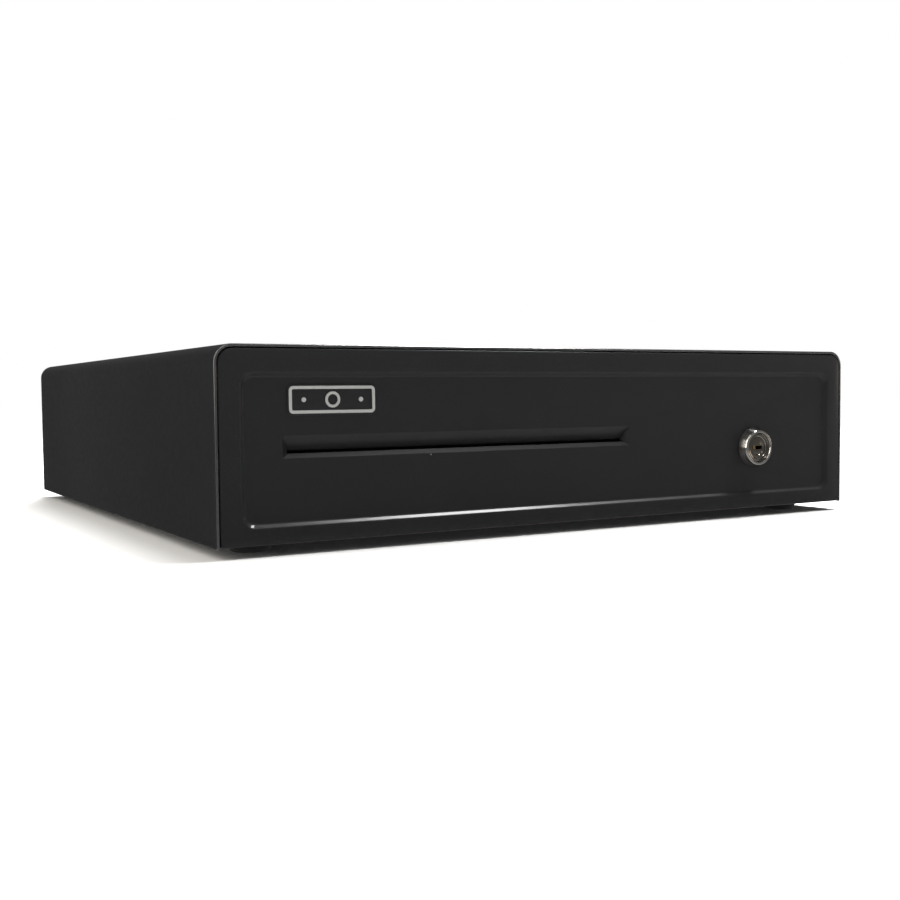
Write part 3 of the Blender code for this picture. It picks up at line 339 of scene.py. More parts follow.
def make_finishes():
    """Every material of the object, by the name of the finish."""
    c = colours()
    return {
        "powder": powder_coat("satin_black_powder_coat", tuple(c.powder)),
        "inside": powder_coat("inside_powder_coat", tuple(c.inside_powder), 0.48),
        "cut_edge": powder_coat("thin_coat_on_cut_edge", tuple(c.inside_powder), 0.22, 1.0, 1.0),
        "zinc": plated_steel("bright_zinc_plate", tuple(c.zinc), 0.20, 0.42),
        "cage": plated_steel("cage_strip_steel", tuple(c.cage), 0.28, 0.48),
        "steel": plated_steel("nickel_plated_steel", tuple(c.steel), 0.14, 0.30, (1, 1, 40),
                              (1.03, 1.0, 0.96)),
        "chrome": chrome_plate("polished_chrome", tuple(c.chrome)),
        # The plug and the lock's collar take this darkened copy of the chrome plate, which is painted shade
        # in place of a dark reflection.
        "plug": chrome_plate("plug_nickel_painted_shade", tuple(c.plug)),
        "brass": plated_steel("wafer_brass", tuple(c.brass), 0.25, 0.45),
        "silver": satin_paint("satin_silver", tuple(c.silver)),
        "gold": plated_steel("gold_contact", tuple(c.gold), 0.15, 0.30),
        "rubber": soft_rubber("foot_rubber", tuple(c.rubber)),
        "sleeve": soft_rubber("wire_sleeve_rubber", tuple(c.sleeve)),
        "plastic": moulded_plastic("black_moulded_plastic", tuple(c.plastic)),
        "red": moulded_plastic("red_button_plastic", tuple(c.red), 0.25, 0.40, 600.0),
        "winding": wound_wire("enamelled_winding", tuple(c.winding), 2200.0),
        "board": circuit_board("green_circuit_board", tuple(c.board), (0.05, 0.30, 0.13)),
    }


FINISHES = {}


# ---------------------------------------------------------------- modelling helpers

def select_only(*objects):
    bpy.ops.object.select_all(action="DESELECT")
    for obj in objects:
        obj.select_set(True)
    bpy.context.view_layer.objects.active = objects[0]


def start_piece(name):
    """The primitive just added, named, with its size and place put into its mesh."""
    piece = bpy.context.object
    piece.name = name
    piece.data.name = name
    bpy.ops.object.transform_apply(location=True, rotation=True, scale=True)
    return piece


def block(name, low, high):
    bpy.ops.object.select_all(action="DESELECT")
    low, high = Vector(low), Vector(high)
    bpy.ops.mesh.primitive_cube_add(size=1, location=(low + high) / 2, scale=high - low)
    return start_piece(name)


def edit(piece):
    select_only(piece)
    bpy.ops.object.mode_set(mode="EDIT")


def edit_all(piece):
    """Opens a piece for editing with all of it selected."""
    edit(piece)
    bpy.ops.mesh.select_all(action="SELECT")


def leave():
    bpy.ops.object.mode_set(mode="OBJECT")


def pick(piece, kind, test):
    """Selects, in edit mode, the vertices, edges or faces that pass the test, and nothing else."""
    bpy.ops.mesh.select_mode(type=kind)
    bpy.ops.mesh.select_all(action="DESELECT")
    shape = bmesh.from_edit_mesh(piece.data)
    found = [item for item in {"VERT": shape.verts, "EDGE": shape.edges, "FACE": shape.faces}[kind]
             if test(item)]
    for item in found:
        item.select_set(True)
    shape.select_flush_mode()
    bmesh.update_edit_mesh(piece.data)
    if not found:
        raise RuntimeError(f"{piece.name}: nothing to select for this step")


def middle(item):
    return sum((v.co for v in item.verts), Vector()) / len(item.verts)


def along(edge, axis):
    run = (edge.verts[1].co - edge.verts[0].co).normalized()
    return abs(run[axis]) > 0.999


def grow(*move):
    """Extrudes the selected faces by a move."""
    bpy.ops.mesh.extrude_region_move(TRANSFORM_OT_translate={"value": move})


def grow_edges(*move):
    bpy.ops.mesh.extrude_edges_move(TRANSFORM_OT_translate={"value": move})


def scale_about(centre, factors):
    bpy.ops.transform.resize(value=tuple(factors), center_override=tuple(centre))


def round_edges(width, segments=3, vertices=False):
    bpy.ops.mesh.bevel(offset=width, segments=segments, profile=0.5,
                       affect="VERTICES" if vertices else "EDGES", clamp_overlap=True)


def apply_modifier(piece, kind, **settings):
    select_only(piece)
    made = piece.modifiers.new(kind.lower(), kind)
    for key, value in settings.items():
        setattr(made, key, value)
    bpy.ops.object.modifier_apply(modifier=made.name)


def give_wall(piece, thickness, offset=-1.0):
    apply_modifier(piece, "SOLIDIFY", thickness=thickness, offset=offset, use_even_offset=True)


def ease(piece, width, segments=2, angle=40):
    apply_modifier(piece, "BEVEL", width=width, segments=segments, limit_method="ANGLE",
                   angle_limit=radians(angle), use_clamp_overlap=True)


def boolean(piece, other, operation):
    apply_modifier(piece, "BOOLEAN", object=other, operation=operation, solver="EXACT")
    bpy.data.objects.remove(other)


def tidy_normals(piece):
    edit_all(piece)
    bpy.ops.mesh.remove_doubles(threshold=TINY / 10)
    bpy.ops.mesh.normals_make_consistent(inside=False)
    leave()


def smooth(piece, angle=32):
    select_only(piece)
    bpy.ops.object.shade_smooth_by_angle(angle=radians(angle))


def done(piece, finish_name, body, *stands_for):
    """Gives a piece its finish and its body, and hides the plain nodes that it stands for."""
    piece.data.materials.clear()
    piece.data.materials.append(FINISHES[finish_name])
    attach(piece, body)
    if stands_for:
        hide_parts(*stands_for)
    return piece


def joined(first, *others):
    select_only(first, *others)
    bpy.ops.object.join()
    return first


def turn_to(piece, axis, place):
    """Turns a piece's +Z to the axis and moves its origin's point to the place, in its mesh."""
    select_only(piece)
    piece.rotation_euler = Vector(axis).to_track_quat("Z", "Y").to_euler()
    piece.location = place
    bpy.ops.object.transform_apply(location=True, rotation=True, scale=True)


def turned(name, profile, centre, axis=TOWARD_USER, sides=64, ring=False):
    """A turned piece: a circle extruded and resized through (radius, height) steps. Heights run
    along the axis from the centre; a ring's last step meets its first."""
    bpy.ops.object.select_all(action="DESELECT")
    radius, height = profile[0]
    bpy.ops.mesh.primitive_circle_add(vertices=sides, radius=max(radius, TINY), location=(0, 0, height))
    piece = start_piece(name)
    edit_all(piece)
    if radius == 0:
        radius = TINY
    for next_radius, next_height in profile[1:] + (profile[:1] if ring else []):
        grow_edges(0, 0, next_height - height)
        factor = max(next_radius, TINY) / radius
        scale_about((0, 0, next_height), (factor, factor, 1))
        radius, height = max(next_radius, TINY), next_height
    leave()
    edit_all(piece)
    bpy.ops.mesh.remove_doubles(threshold=TINY * 1.5)
    bpy.ops.mesh.normals_make_consistent(inside=False)
    leave()
    turn_to(piece, axis, centre)
    smooth(piece)
    return piece


def refined(node, finish_name, width, segments=2, angle=40, facets=32):
    """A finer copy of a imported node: loose triangles merged, flats made whole, edges eased."""
    piece = bpy.data.objects.new(node + "_finished", NODES[node].data.copy())
    bpy.context.scene.collection.objects.link(piece)
    edit_all(piece)
    bpy.ops.mesh.remove_doubles(threshold=TINY / 2)
    bpy.ops.mesh.customdata_custom_splitnormals_clear()
    bpy.ops.mesh.dissolve_limited(angle_limit=radians(1.0))
    leave()
    if width:
        ease(piece, width, segments, angle)
    smooth(piece, facets)
    return done(piece, finish_name, BODY_OF[node], node)


# ---------------------------------------------------------------- outer case

def make_cover():
    s = sizes()
    low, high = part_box("case_cover")
    piece = block("case_cover_finished", low, high)
    edit(piece)
    pick(piece, "FACE", lambda f: f.normal.z < -0.9 or abs(f.normal.y) > 0.9)
    bpy.ops.mesh.delete(type="FACE")
    pick(piece, "EDGE", lambda e: along(e, 1) and middle(e).z > high.z - TINY)
    round_edges(s.cover_radius, 12)
    leave()
    give_wall(piece, s.cover_sheet)
    ease(piece, s.cover_edge, 3, 60)
    smooth(piece)
    done(piece, "powder", "case", "case_cover")
    piece.data.materials.append(FINISHES["cut_edge"])
    for face in piece.data.polygons:
        if face.center.y < low.y + 0.8 * s.cover_edge:
            face.material_index = 1
    return piece


def rounded_face(name, left, right, low, high, y, top_radius, bottom_radius, segments=10):
    """An upright face that looks at the user, with its corners rounded."""
    bpy.ops.object.select_all(action="DESELECT")
    bpy.ops.mesh.primitive_plane_add(size=1, location=((left + right) / 2, y, (low + high) / 2),
                                     rotation=(pi / 2, 0, 0))
    bpy.context.object.scale = (right - left, high - low, 1)
    piece = start_piece(name)
    for level, radius in ((high, top_radius), (low, bottom_radius)):
        edit(piece)
        pick(piece, "VERT", lambda v: abs(v.co.z - level) < TINY)
        round_edges(radius, segments, vertices=True)
        leave()
    return piece


def in_plane(item, y):
    return all(abs(v.co.y - y) < TINY for v in item.verts)


def make_panel():
    """The front panel: a pressed sheet with a sunk middle, folded back along its four sides."""
    s = sizes()
    low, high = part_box("front_panel")
    case_low, case_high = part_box("case_cover")
    front = low.y
    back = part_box("drawer_tray")[0].y + 4 * MM
    left, right = case_low.x + s.recess_side, case_high.x - s.recess_side
    bottom, top = case_low.z + s.recess_bottom, case_high.z - s.recess_top
    recess = rounded_face("recess", left, right, bottom, top, front, s.recess_radius, s.recess_radius)
    outer = rounded_face("front_panel_finished", low.x - s.panel_grow, high.x + s.panel_grow, low.z,
                         high.z + s.panel_grow, front, s.panel_radius, 1.0 * MM)
    piece = joined(outer, recess)

    edit(piece)
    width, height = right - left, top - bottom
    sunk = (width * height) * 1.02
    pick(piece, "FACE", lambda f: f.calc_area() < sunk)
    grow(0, s.recess_depth, 0)
    scale_about(((left + right) / 2, front, (top + bottom) / 2),
                ((width - 2 * s.recess_slope) / width, 1, (height - 2 * s.recess_slope) / height))
    pick(piece, "FACE", lambda f: in_plane(f, front))
    bpy.ops.mesh.delete(type="ONLY_FACE")
    pick(piece, "EDGE", lambda e: in_plane(e, front))
    bpy.ops.mesh.bridge_edge_loops()

    def inside(edge, margin):
        where = middle(edge)
        return left - margin < where.x < right + margin and bottom - margin < where.z < top + margin

    margin = 0.2 * MM
    pick(piece, "EDGE", lambda e: in_plane(e, front) and e.is_boundary)
    grow_edges(0, back - front, 0)
    pick(piece, "EDGE", lambda e: in_plane(e, front) and len(e.link_faces) == 2
         and sum(abs(f.normal.y) < 0.1 for f in e.link_faces) == 1)
    round_edges(s.panel_fold, 4)
    pick(piece, "EDGE", lambda e: inside(e, margin) and len(e.link_faces) == 2
         and in_plane(e, front) and e.calc_face_angle(0) > radians(20))
    round_edges(s.recess_bend, 4)
    floor_y = front + s.recess_depth
    pick(piece, "EDGE", lambda e: in_plane(e, floor_y) and len(e.link_faces) == 2
         and e.calc_face_angle(0) > radians(20) and inside(e, 0))
    round_edges(s.recess_bend, 4)
    bpy.ops.mesh.select_all(action="SELECT")
    bpy.ops.mesh.normals_make_consistent(inside=False)
    leave()
    if sum(f.normal.y * f.area for f in piece.data.polygons if abs(f.normal.y) > 0.9) > 0:
        edit_all(piece)
        bpy.ops.mesh.flip_normals()
        leave()
    give_wall(piece, s.sheet)
    return piece


def cut_slot(piece):
    """The note slot: a pocket with a sloping upper face, a raised lower lip and slanted ends."""
    s = sizes()
    case_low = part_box("case_cover")[0]
    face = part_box("front_panel")[0].y + s.recess_depth
    left = case_low.x + s.slot_left
    right = left + s.slot_length
    low, high = case_low.z + s.slot_low, case_low.z + s.slot_high
    wall = s.sheet
    funnel = block("funnel", (left - wall, face + 0.6 * MM, low - wall),
                   (right + wall, face + s.slot_depth + wall, high + wall))
    boolean(piece, funnel, "UNION")
    pocket = block("pocket", (left, face, low), (right, face + s.slot_depth, high))
    edit(pocket)
    pick(pocket, "FACE", lambda f: f.normal.y > 0.9)
    middle_x = (left + right) / 2
    scale_about((middle_x, face, low), (1 - 2 * s.slot_end_slope / s.slot_length, 1, 1))
    pick(pocket, "VERT", lambda v: v.co.y > face + TINY and v.co.z > (low + high) / 2)
    bpy.ops.transform.translate(value=(0, 0, case_low.z + s.mouth_high - high))
    pick(pocket, "VERT", lambda v: v.co.y > face + TINY and v.co.z < low + TINY)
    bpy.ops.transform.translate(value=(0, s.lip_depth - s.slot_depth, s.mouth_low - s.slot_low))
    pick(pocket, "FACE", lambda f: all(v.co.y > face + TINY for v in f.verts))
    grow(0, 4 * MM, 0)
    pick(pocket, "FACE", lambda f: f.normal.y < -0.9)
    flare = 0.077 * MM
    for step, spread in ((flare, 0.10 * MM), (flare, 0.34 * MM), (2.0 * MM, 0)):
        grow(0, -step, 0)
        if spread:
            scale_about((middle_x, face, (low + high) / 2),
                        (1 + 2 * spread / s.slot_length, 1, 1 + 2 * spread / (high - low)))
    bpy.ops.mesh.select_all(action="SELECT")
    bpy.ops.mesh.normals_make_consistent(inside=False)
    leave()
    boolean(piece, pocket, "DIFFERENCE")


class CASHDRAWER_OT_cover(bpy.types.Operator):
    """Folded cover of the case, with rounded long folds and eased cut edges"""

    bl_idname = "cash_drawer.cover"
    bl_label = "Case cover"

    def execute(self, context):
        make_cover()
        return {"FINISHED"}


class CASHDRAWER_OT_front_panel(bpy.types.Operator):
    """Pressed front panel with its sunk middle, note slot and lock hole"""

    bl_idname = "cash_drawer.front_panel"
    bl_label = "Front panel"

    def execute(self, context):
        piece = make_panel()
        cut_slot(piece)
        lock = centre_of("lock_plug")
        radius = (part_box("lock_barrel")[1].x - lock.x) - 2.6 * MM
        hole = turned("lock_hole", [(0, -20 * MM), (radius, -20 * MM), (radius, 20 * MM), (0, 20 * MM)],
                      (lock.x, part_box("front_panel")[0].y, lock.z))
        boolean(piece, hole, "DIFFERENCE")
        smooth(piece, 30)
        done(piece, "powder", "drawer", "front_panel")
        return {"FINISHED"}


# ---------------------------------------------------------------- badge and lock

class CASHDRAWER_OT_badge(bpy.types.Operator):
    """Small plate with a plain banknote sign in satin silver outlines"""

    bl_idname = "cash_drawer.badge"
    bl_label = "Badge"

    def execute(self, context):
        low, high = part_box("badge")
        plate = rounded_face("badge_plate", low.x, high.x, low.z, high.z, high.y, 2.6 * MM, 2.6 * MM)
        edit_all(plate)
        grow(0, -0.35 * MM, 0)
        leave()
        tidy_normals(plate)
        ease(plate, 0.12 * MM, 2)
        smooth(plate)
        done(plate, "powder", "drawer")

        top = high.y - 0.30 * MM
        raise_by = min(0.45 * MM, top - low.y - 0.02 * MM)
        centre = (low + high) / 2
        inset, line = 0.9 * MM, 1.5 * MM
        signs = [self.outline(low.x + inset, high.x - inset, low.z + inset, high.z - inset, top,
                              raise_by, line, 2.2 * MM)]
        ring = [(3.9 * MM, 0), (3.9 * MM, raise_by - 0.1 * MM), (3.8 * MM, raise_by),
                (2.7 * MM, raise_by), (2.6 * MM, raise_by - 0.1 * MM), (2.6 * MM, 0)]
        signs.append(turned("coin_ring", ring, (centre.x, top, centre.z), ring=True))
        dot = [(0, 0), (1.15 * MM, 0), (1.15 * MM, raise_by - 0.1 * MM), (1.05 * MM, raise_by), (0, raise_by)]
        reach = (high.x - low.x) / 2 - 8.5 * MM
        for side in (-1, 1):
            signs.append(turned("note_dot", dot, (centre.x + side * reach, top, centre.z), sides=32))
        sign = joined(*signs)
        sign.name = "badge_sign"
        done(sign, "silver", "drawer", "badge")
        return {"FINISHED"}

    def outline(self, left, right, low, high, y, height, line, radius):
        """A raised line round a rounded rectangle."""
        piece = rounded_face("note_outline", left, right, low, high, y, radius, radius)
        edit_all(piece)
        bpy.ops.mesh.inset(thickness=line, depth=0)
        bpy.ops.mesh.delete(type="FACE")
        bpy.ops.mesh.select_all(action="SELECT")
        grow(0, -height, 0)
        leave()
        tidy_normals(piece)
        ease(piece, 0.1 * MM, 1)
        smooth(piece)
        return piece


class CASHDRAWER_OT_lock(bpy.types.Operator):
    """Cam lock: tapered chrome bezel, plug with its keyway and wafers, hexagonal nut and cam"""

    bl_idname = "cash_drawer.lock"
    bl_label = "Lock"

    def execute(self, context):
        low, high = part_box("lock_barrel")
        place = centre_of("lock_plug")
        front_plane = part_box("front_panel")[0].y
        base = Vector((place.x, front_plane, place.z))
        proud = front_plane - low.y
        outer = high.x - place.x
        seat = sizes().recess_depth - 0.3 * MM
        end = high.y - front_plane
        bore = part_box("lock_plug")[1].x - place.x + 0.25 * MM
        steps = [
            (outer - 2.9 * MM, -end), (outer - 2.9 * MM, -seat), (outer - 0.35 * MM, -seat),
            (outer - 0.08 * MM, -seat + 0.1 * MM), (outer, -seat + 0.35 * MM),
            (outer - 0.02 * MM, -seat + 0.9 * MM), (outer - 1.72 * MM, proud - 0.5 * MM),
            (outer - 1.85 * MM, proud - 0.22 * MM), (outer - 2.05 * MM, proud - 0.06 * MM),
            (outer - 2.3 * MM, proud), (outer - 3.0 * MM, proud), (outer - 3.2 * MM, proud - 0.08 * MM),
            (outer - 3.32 * MM, proud - 0.3 * MM), (outer - 3.65 * MM, proud - 1.35 * MM),
            (outer - 3.85 * MM, proud - 1.5 * MM), (bore + 0.25 * MM, proud - 1.5 * MM),
            (bore, proud - 1.7 * MM), (bore, -end),
        ]
        barrel = turned("lock_barrel_finished", steps, base, sides=96, ring=True)
        done(barrel, "chrome", "drawer", "lock_barrel")

        rim, floor = outer - 3.9 * MM, proud - 1.5 * MM
        steps = [(bore + 0.3 * MM, floor + 0.05 * MM), (bore + 0.4 * MM, floor + 0.5 * MM),
                 (bore + 0.9 * MM, floor + 0.62 * MM), (rim - 0.4 * MM, floor + 0.45 * MM),
                 (rim, floor + 0.30 * MM), (rim, floor + 0.05 * MM)]
        collar = turned("lock_collar", steps, base, sides=96, ring=True)
        done(collar, "plug", "drawer")

        radius = bore - 0.25 * MM
        face = front_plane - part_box("lock_plug")[0].y
        groove = 0.62 * radius
        steps = [
            (0, -end), (radius, -end), (radius, face - 0.35 * MM), (radius - 0.1 * MM, face - 0.1 * MM),
            (radius - 0.35 * MM, face), (groove + 0.75 * MM, face), (groove + 0.6 * MM, face - 0.12 * MM),
            (groove + 0.35 * MM, face - 0.5 * MM), (groove, face - 0.55 * MM),
            (groove - 0.25 * MM, face - 0.45 * MM), (0, face - 0.38 * MM),
        ]
        plug = turned("lock_plug_finished", steps, base, sides=96)
        half_w, half_h = sizes().keyway_width / 2, sizes().keyway_height / 2
        keyway = block("keyway", (place.x - half_w, front_plane - face - 2 * MM, place.z - half_h),
                       (place.x + half_w, front_plane + 9 * MM, place.z + half_h))
        ease(keyway, 0.5 * MM, 3, 60)
        boolean(plug, keyway, "DIFFERENCE")
        ease(plug, 0.10 * MM, 2, 55)
        smooth(plug)
        done(plug, "plug", "lock", "lock_plug")

        slats = []
        for i in range(5):
            y = front_plane - face + (2.2 + 1.3 * i) * MM
            drop = (0.5, -0.3, 0.2, -0.6, 0.1)[i] * MM
            slat = block("wafer", (place.x - half_w * 0.55 + drop, y, place.z - half_h - 0.4 * MM),
                         (place.x - half_w * 0.05 + drop, y + 0.6 * MM, place.z + half_h + 0.4 * MM))
            ease(slat, 0.08 * MM, 1)
            slats.append(slat)
        wafers = joined(*slats)
        wafers.name = "lock_wafers"
        done(wafers, "brass", "lock")
        refined("lock_nut", "steel", 0.35 * MM, 2)
        refined("lock_cam", "zinc", 0.25 * MM, 2)
        return {"FINISHED"}


# ---------------------------------------------------------------- sheets, feet and fixings

def pan_head(name, centre, radius, height, axis, cross=True):
    """A screw's pan head with a cross recess. The centre is where it sits on the sheet."""
    steps = [(0, -0.6 * MM), (radius * 0.45, -0.6 * MM), (radius * 0.45, 0), (radius * 0.97, 0),
             (radius, height * 0.12), (radius * 0.97, height * 0.42), (radius * 0.86, height * 0.74),
             (radius * 0.62, height * 0.93), (radius * 0.3, height), (0, height)]
    head = turned(name, steps, (0, 0, 0), UP, 40)
    if cross:
        arm, slot = radius * 0.58, radius * 0.13
        for half_x, half_y in ((arm, slot), (slot, arm)):
            boolean(head, block("cross", (-half_x, -half_y, height * 0.35), (half_x, half_y, height * 2)),
                    "DIFFERENCE")
        smooth(head)
    turn_to(head, axis, centre)
    return head


class CASHDRAWER_OT_sheets(bpy.types.Operator):
    """Base plate, back panel and drawer tray with eased sheet edges, and the back panel's screws"""

    bl_idname = "cash_drawer.sheets"
    bl_label = "Sheets and screws"

    def execute(self, context):
        refined("base_plate", "inside", 0.25 * MM, 2)
        refined("back_panel", "powder", 0.25 * MM, 2)
        refined("drawer_tray", "inside", 0.35 * MM, 2)
        for node in NODES:
            if node.startswith("back_screw"):
                low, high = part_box(node)
                centre = (low + high) / 2
                seat = high.y - 1.7 * MM
                head = pan_head(node + "_finished", (centre.x, seat, centre.z), (high.x - low.x) / 2,
                                high.y - seat, (0, 1, 0))
                done(head, "steel", "case", node)
        return {"FINISHED"}


class CASHDRAWER_OT_feet(bpy.types.Operator):
    """Rubber feet with a rounded rim and a screw in a washer"""

    bl_idname = "cash_drawer.feet"
    bl_label = "Feet"

    def execute(self, context):
        feet = [node for node in NODES if node.startswith("foot_")]
        low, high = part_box(feet[0])
        radius, height = (high.x - low.x) / 2, high.z - low.z
        well, rim = 4.5 * MM, 1.6 * MM
        steps = [
            (0, rim), (well - 0.1 * MM, rim), (well, rim - 0.1 * MM), (well, 0.35 * MM),
            (well + 0.1 * MM, 0.1 * MM), (well + 0.35 * MM, 0), (radius - 2.4 * MM, 0),
            (radius - 1.9 * MM, 0.12 * MM), (radius - 1.45 * MM, 0.6 * MM),
            (radius - 0.5 * MM, height * 0.55), (radius - 0.45 * MM, height * 0.62),
            (radius - 0.1 * MM, height * 0.70), (radius, height * 0.76), (radius, height - 0.3 * MM),
            (radius - 0.2 * MM, height), (0, height),
        ]
        for node in feet:
            centre = centre_of(node)
            rubber = turned(node + "_finished", steps, (centre.x, centre.y, 0), UP, 64)
            done(rubber, "rubber", "case", node)
            washer = turned("washer", [(2.2 * MM, 1.05 * MM), (3.9 * MM, 1.05 * MM), (4.0 * MM, 1.15 * MM),
                                       (4.0 * MM, 1.58 * MM), (2.2 * MM, 1.58 * MM)],
                            (centre.x, centre.y, 0), UP, 40, ring=True)
            head = pan_head("screw", (centre.x, centre.y, 1.04 * MM), 2.9 * MM, 0.8 * MM, (0, 0, -1))
            fixing = joined(head, washer)
            fixing.name = node + "_screw"
            done(fixing, "steel", "case")
        return {"FINISHED"}


# ---------------------------------------------------------------- slides

class CASHDRAWER_OT_slides(bpy.types.Operator):
    """Telescopic slides: folded members, ball cages and two rows of steel balls in each cage"""

    bl_idname = "cash_drawer.slides"
    bl_label = "Slides"

    def execute(self, context):
        for side in ("left", "right"):
            for kind in ("slide_case", "slide_middle", "slide_drawer"):
                refined(f"{kind}_{side}", "zinc", 0.25 * MM, 2)
            for kind in ("slide_cage_outer", "slide_cage_inner"):
                refined(f"{kind}_{side}", "cage", 0.15 * MM, 2)
                self.balls(f"{kind}_{side}", 1.25 * MM)
        return {"FINISHED"}

    def balls(self, cage, radius):
        low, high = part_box(cage)
        count = 16
        pitch = (high.y - low.y - 24 * MM) / (count - 1)
        across = (low.x + high.x) / 2 + (0.6 * MM if low.x < 0 else -0.6 * MM)
        rows = []
        for level in (low.z + 0.4 * MM, high.z - 0.4 * MM):
            bpy.ops.object.select_all(action="DESELECT")
            bpy.ops.mesh.primitive_ico_sphere_add(subdivisions=3, radius=radius,
                                                  location=(across, low.y + 12 * MM, level))
            row = start_piece("ball_row")
            apply_modifier(row, "ARRAY", count=count, use_relative_offset=False,
                           use_constant_offset=True, constant_offset_displace=(0, pitch, 0))
            rows.append(row)
        piece = joined(*rows)
        piece.name = cage.replace("slide_cage", "balls")
        smooth(piece, 60)
        done(piece, "steel", BODY_OF[cage])


# ---------------------------------------------------------------- till

def helix(name, start, axis, coil_radius, wire_radius, span, turns, steps=20, sides=10):
    """A wire wound round an axis from the start point, with closed ends."""
    bpy.ops.object.select_all(action="DESELECT")
    bpy.ops.mesh.primitive_circle_add(vertices=sides, radius=wire_radius, location=(coil_radius, 0, 0),
                                      rotation=(pi / 2, 0, 0))
    piece = start_piece(name)
    apply_modifier(piece, "SCREW", axis="Z", angle=2 * pi, screw_offset=span / turns, iterations=turns,
                   steps=steps, render_steps=steps, use_smooth_shade=True)
    edit_all(piece)
    bpy.ops.mesh.fill_holes(sides=0)
    bpy.ops.mesh.normals_make_consistent(inside=False)
    leave()
    turn_to(piece, axis, start)
    smooth(piece, 50)
    return piece


class CASHDRAWER_OT_till(bpy.types.Operator):
    """Till with its note bays, lift-out coin tray, note clips on their rod and the clip springs"""

    bl_idname = "cash_drawer.till"
    bl_label = "Till"

    def execute(self, context):
        refined("till", "plastic", 0.6 * MM, 3, 30, 40)
        refined("coin_tray", "plastic", 0.7 * MM, 3, 40, 40)
        refined("clip_rod", "steel", 0.2 * MM, 2, 60)
        for side in ("left", "right"):
            refined(f"till_stop_{side}", "zinc", 0.25 * MM, 2)
        for node in [name for name in NODES if name.startswith("note_clip_")]:
            refined(node, "plastic", 0.3 * MM, 2, 35, 40)
            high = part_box(node)[1]
            rod = centre_of("clip_rod")
            spring = helix(f"{node}_spring", (high.x + 0.5 * MM, rod.y, rod.z), (1, 0, 0), 2.5 * MM,
                           0.35 * MM, 4.6 * MM, 6)
            done(spring, "steel", BODY_OF[node])
        return {"FINISHED"}


# ---------------------------------------------------------------- latch, springs and wiring

class CASHDRAWER_OT_latch(bpy.types.Operator):
    """Latch lever, striker, release bar, keeper and the solenoid with its wound coil"""

    bl_idname = "cash_drawer.latch"
    bl_label = "Latch and solenoid"

    def execute(self, context):
        for node in ("latch_bracket", "latch_lever", "striker", "release_bar", "lock_keeper",
                     "solenoid_frame"):
            refined(node, "zinc", 0.22 * MM, 2)
        for node in ("latch_pivot_pin", "bar_stud"):
            refined(node, "steel", 0.15 * MM, 2, 50)
        refined("plunger", "steel", 0.2 * MM, 2, 50)
        refined("switch_body", "plastic", 0.4 * MM, 3)
        refined("switch_button", "red", 0.3 * MM, 3)

        low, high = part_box("solenoid_coil")
        centre = (low + high) / 2
        half, rim = (high.x - low.x) / 2, (high.z - low.z) / 2
        bore = (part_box("plunger_spring")[1].z - centre.z) - 1.2 * MM
        flange = 1.5 * MM
        bobbin = turned("solenoid_bobbin", [
            (bore, -half), (rim - 0.2 * MM, -half), (rim, -half + 0.2 * MM),
            (rim, -half + flange - 0.2 * MM), (rim - 0.2 * MM, -half + flange),
            (bore + 0.8 * MM, -half + flange), (bore + 0.8 * MM, half - flange),
            (rim - 0.2 * MM, half - flange), (rim, half - flange + 0.2 * MM), (rim, half - 0.2 * MM),
            (rim - 0.2 * MM, half), (bore, half)], centre, (1, 0, 0), 64, ring=True)
        done(bobbin, "plastic", "case")
        wound = rim - 0.8 * MM
        span = half - flange
        winding = turned("solenoid_winding", [
            (bore + 0.9 * MM, -span), (wound - 0.5 * MM, -span), (wound, -span + 0.8 * MM),
            (wound + 0.15 * MM, 0), (wound, span - 0.8 * MM), (wound - 0.5 * MM, span),
            (bore + 0.9 * MM, span)], centre, (1, 0, 0), 64, ring=True)
        done(winding, "winding", "case", "solenoid_coil")
        return {"FINISHED"}


class CASHDRAWER_OT_springs(bpy.types.Operator):
    """The kick spring on its peg, and the plunger's return spring"""

    bl_idname = "cash_drawer.springs"
    bl_label = "Springs"

    def execute(self, context):
        low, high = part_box("kick_spring")
        centre, wire = (low + high) / 2, 0.8 * MM
        kick = helix("kick_spring_finished", (centre.x, high.y - wire, centre.z), (0, -1, 0),
                     (high.x - low.x) / 2 - wire, wire, high.y - low.y - 2 * wire, 7, 36, 12)
        done(kick, "steel", "case", "kick_spring")
        refined("spring_peg", "plastic", 0.3 * MM, 3, 50)
        low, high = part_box("plunger_spring")
        centre, wire = (low + high) / 2, 0.4 * MM
        back = helix("plunger_spring_finished", (low.x + wire, centre.y, centre.z), (1, 0, 0),
                     (high.z - low.z) / 2 - wire, wire, high.x - low.x - 2 * wire, 5, 32, 10)
        done(back, "steel", "case", "plunger_spring")
        return {"FINISHED"}


class CASHDRAWER_OT_wiring(bpy.types.Operator):
    """Modular socket with gold contacts, its board, and the lead to the solenoid"""

    bl_idname = "cash_drawer.wiring"
    bl_label = "Socket and wiring"

    def execute(self, context):
        refined("socket", "plastic", 0.3 * MM, 2)
        refined("socket_board", "board", 0.15 * MM, 2)
        lead = refined("wiring", "sleeve", 0)
        apply_modifier(lead, "SUBSURF", levels=2, render_levels=2)
        smooth(lead, 70)

        low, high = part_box("socket")
        centre = (low + high) / 2
        pitch, half = 1.25 * MM, 0.2 * MM
        first = centre.x - 2.5 * pitch
        contact = block("jack_contacts", (first - half, high.y - 9.4 * MM, centre.z - 1.2 * MM),
                        (first + half, high.y - 2.4 * MM, centre.z - 0.8 * MM))
        edit(contact)
        pick(contact, "FACE", lambda f: f.normal.y > 0.9)
        bpy.ops.transform.translate(value=(0, 0, -1.9 * MM))
        leave()
        ease(contact, 0.08 * MM, 2)
        apply_modifier(contact, "ARRAY", count=6, use_relative_offset=False,
                       use_constant_offset=True, constant_offset_displace=(pitch, 0, 0))
        done(contact, "gold", "case")
        return {"FINISHED"}


# ---------------------------------------------------------------- studio

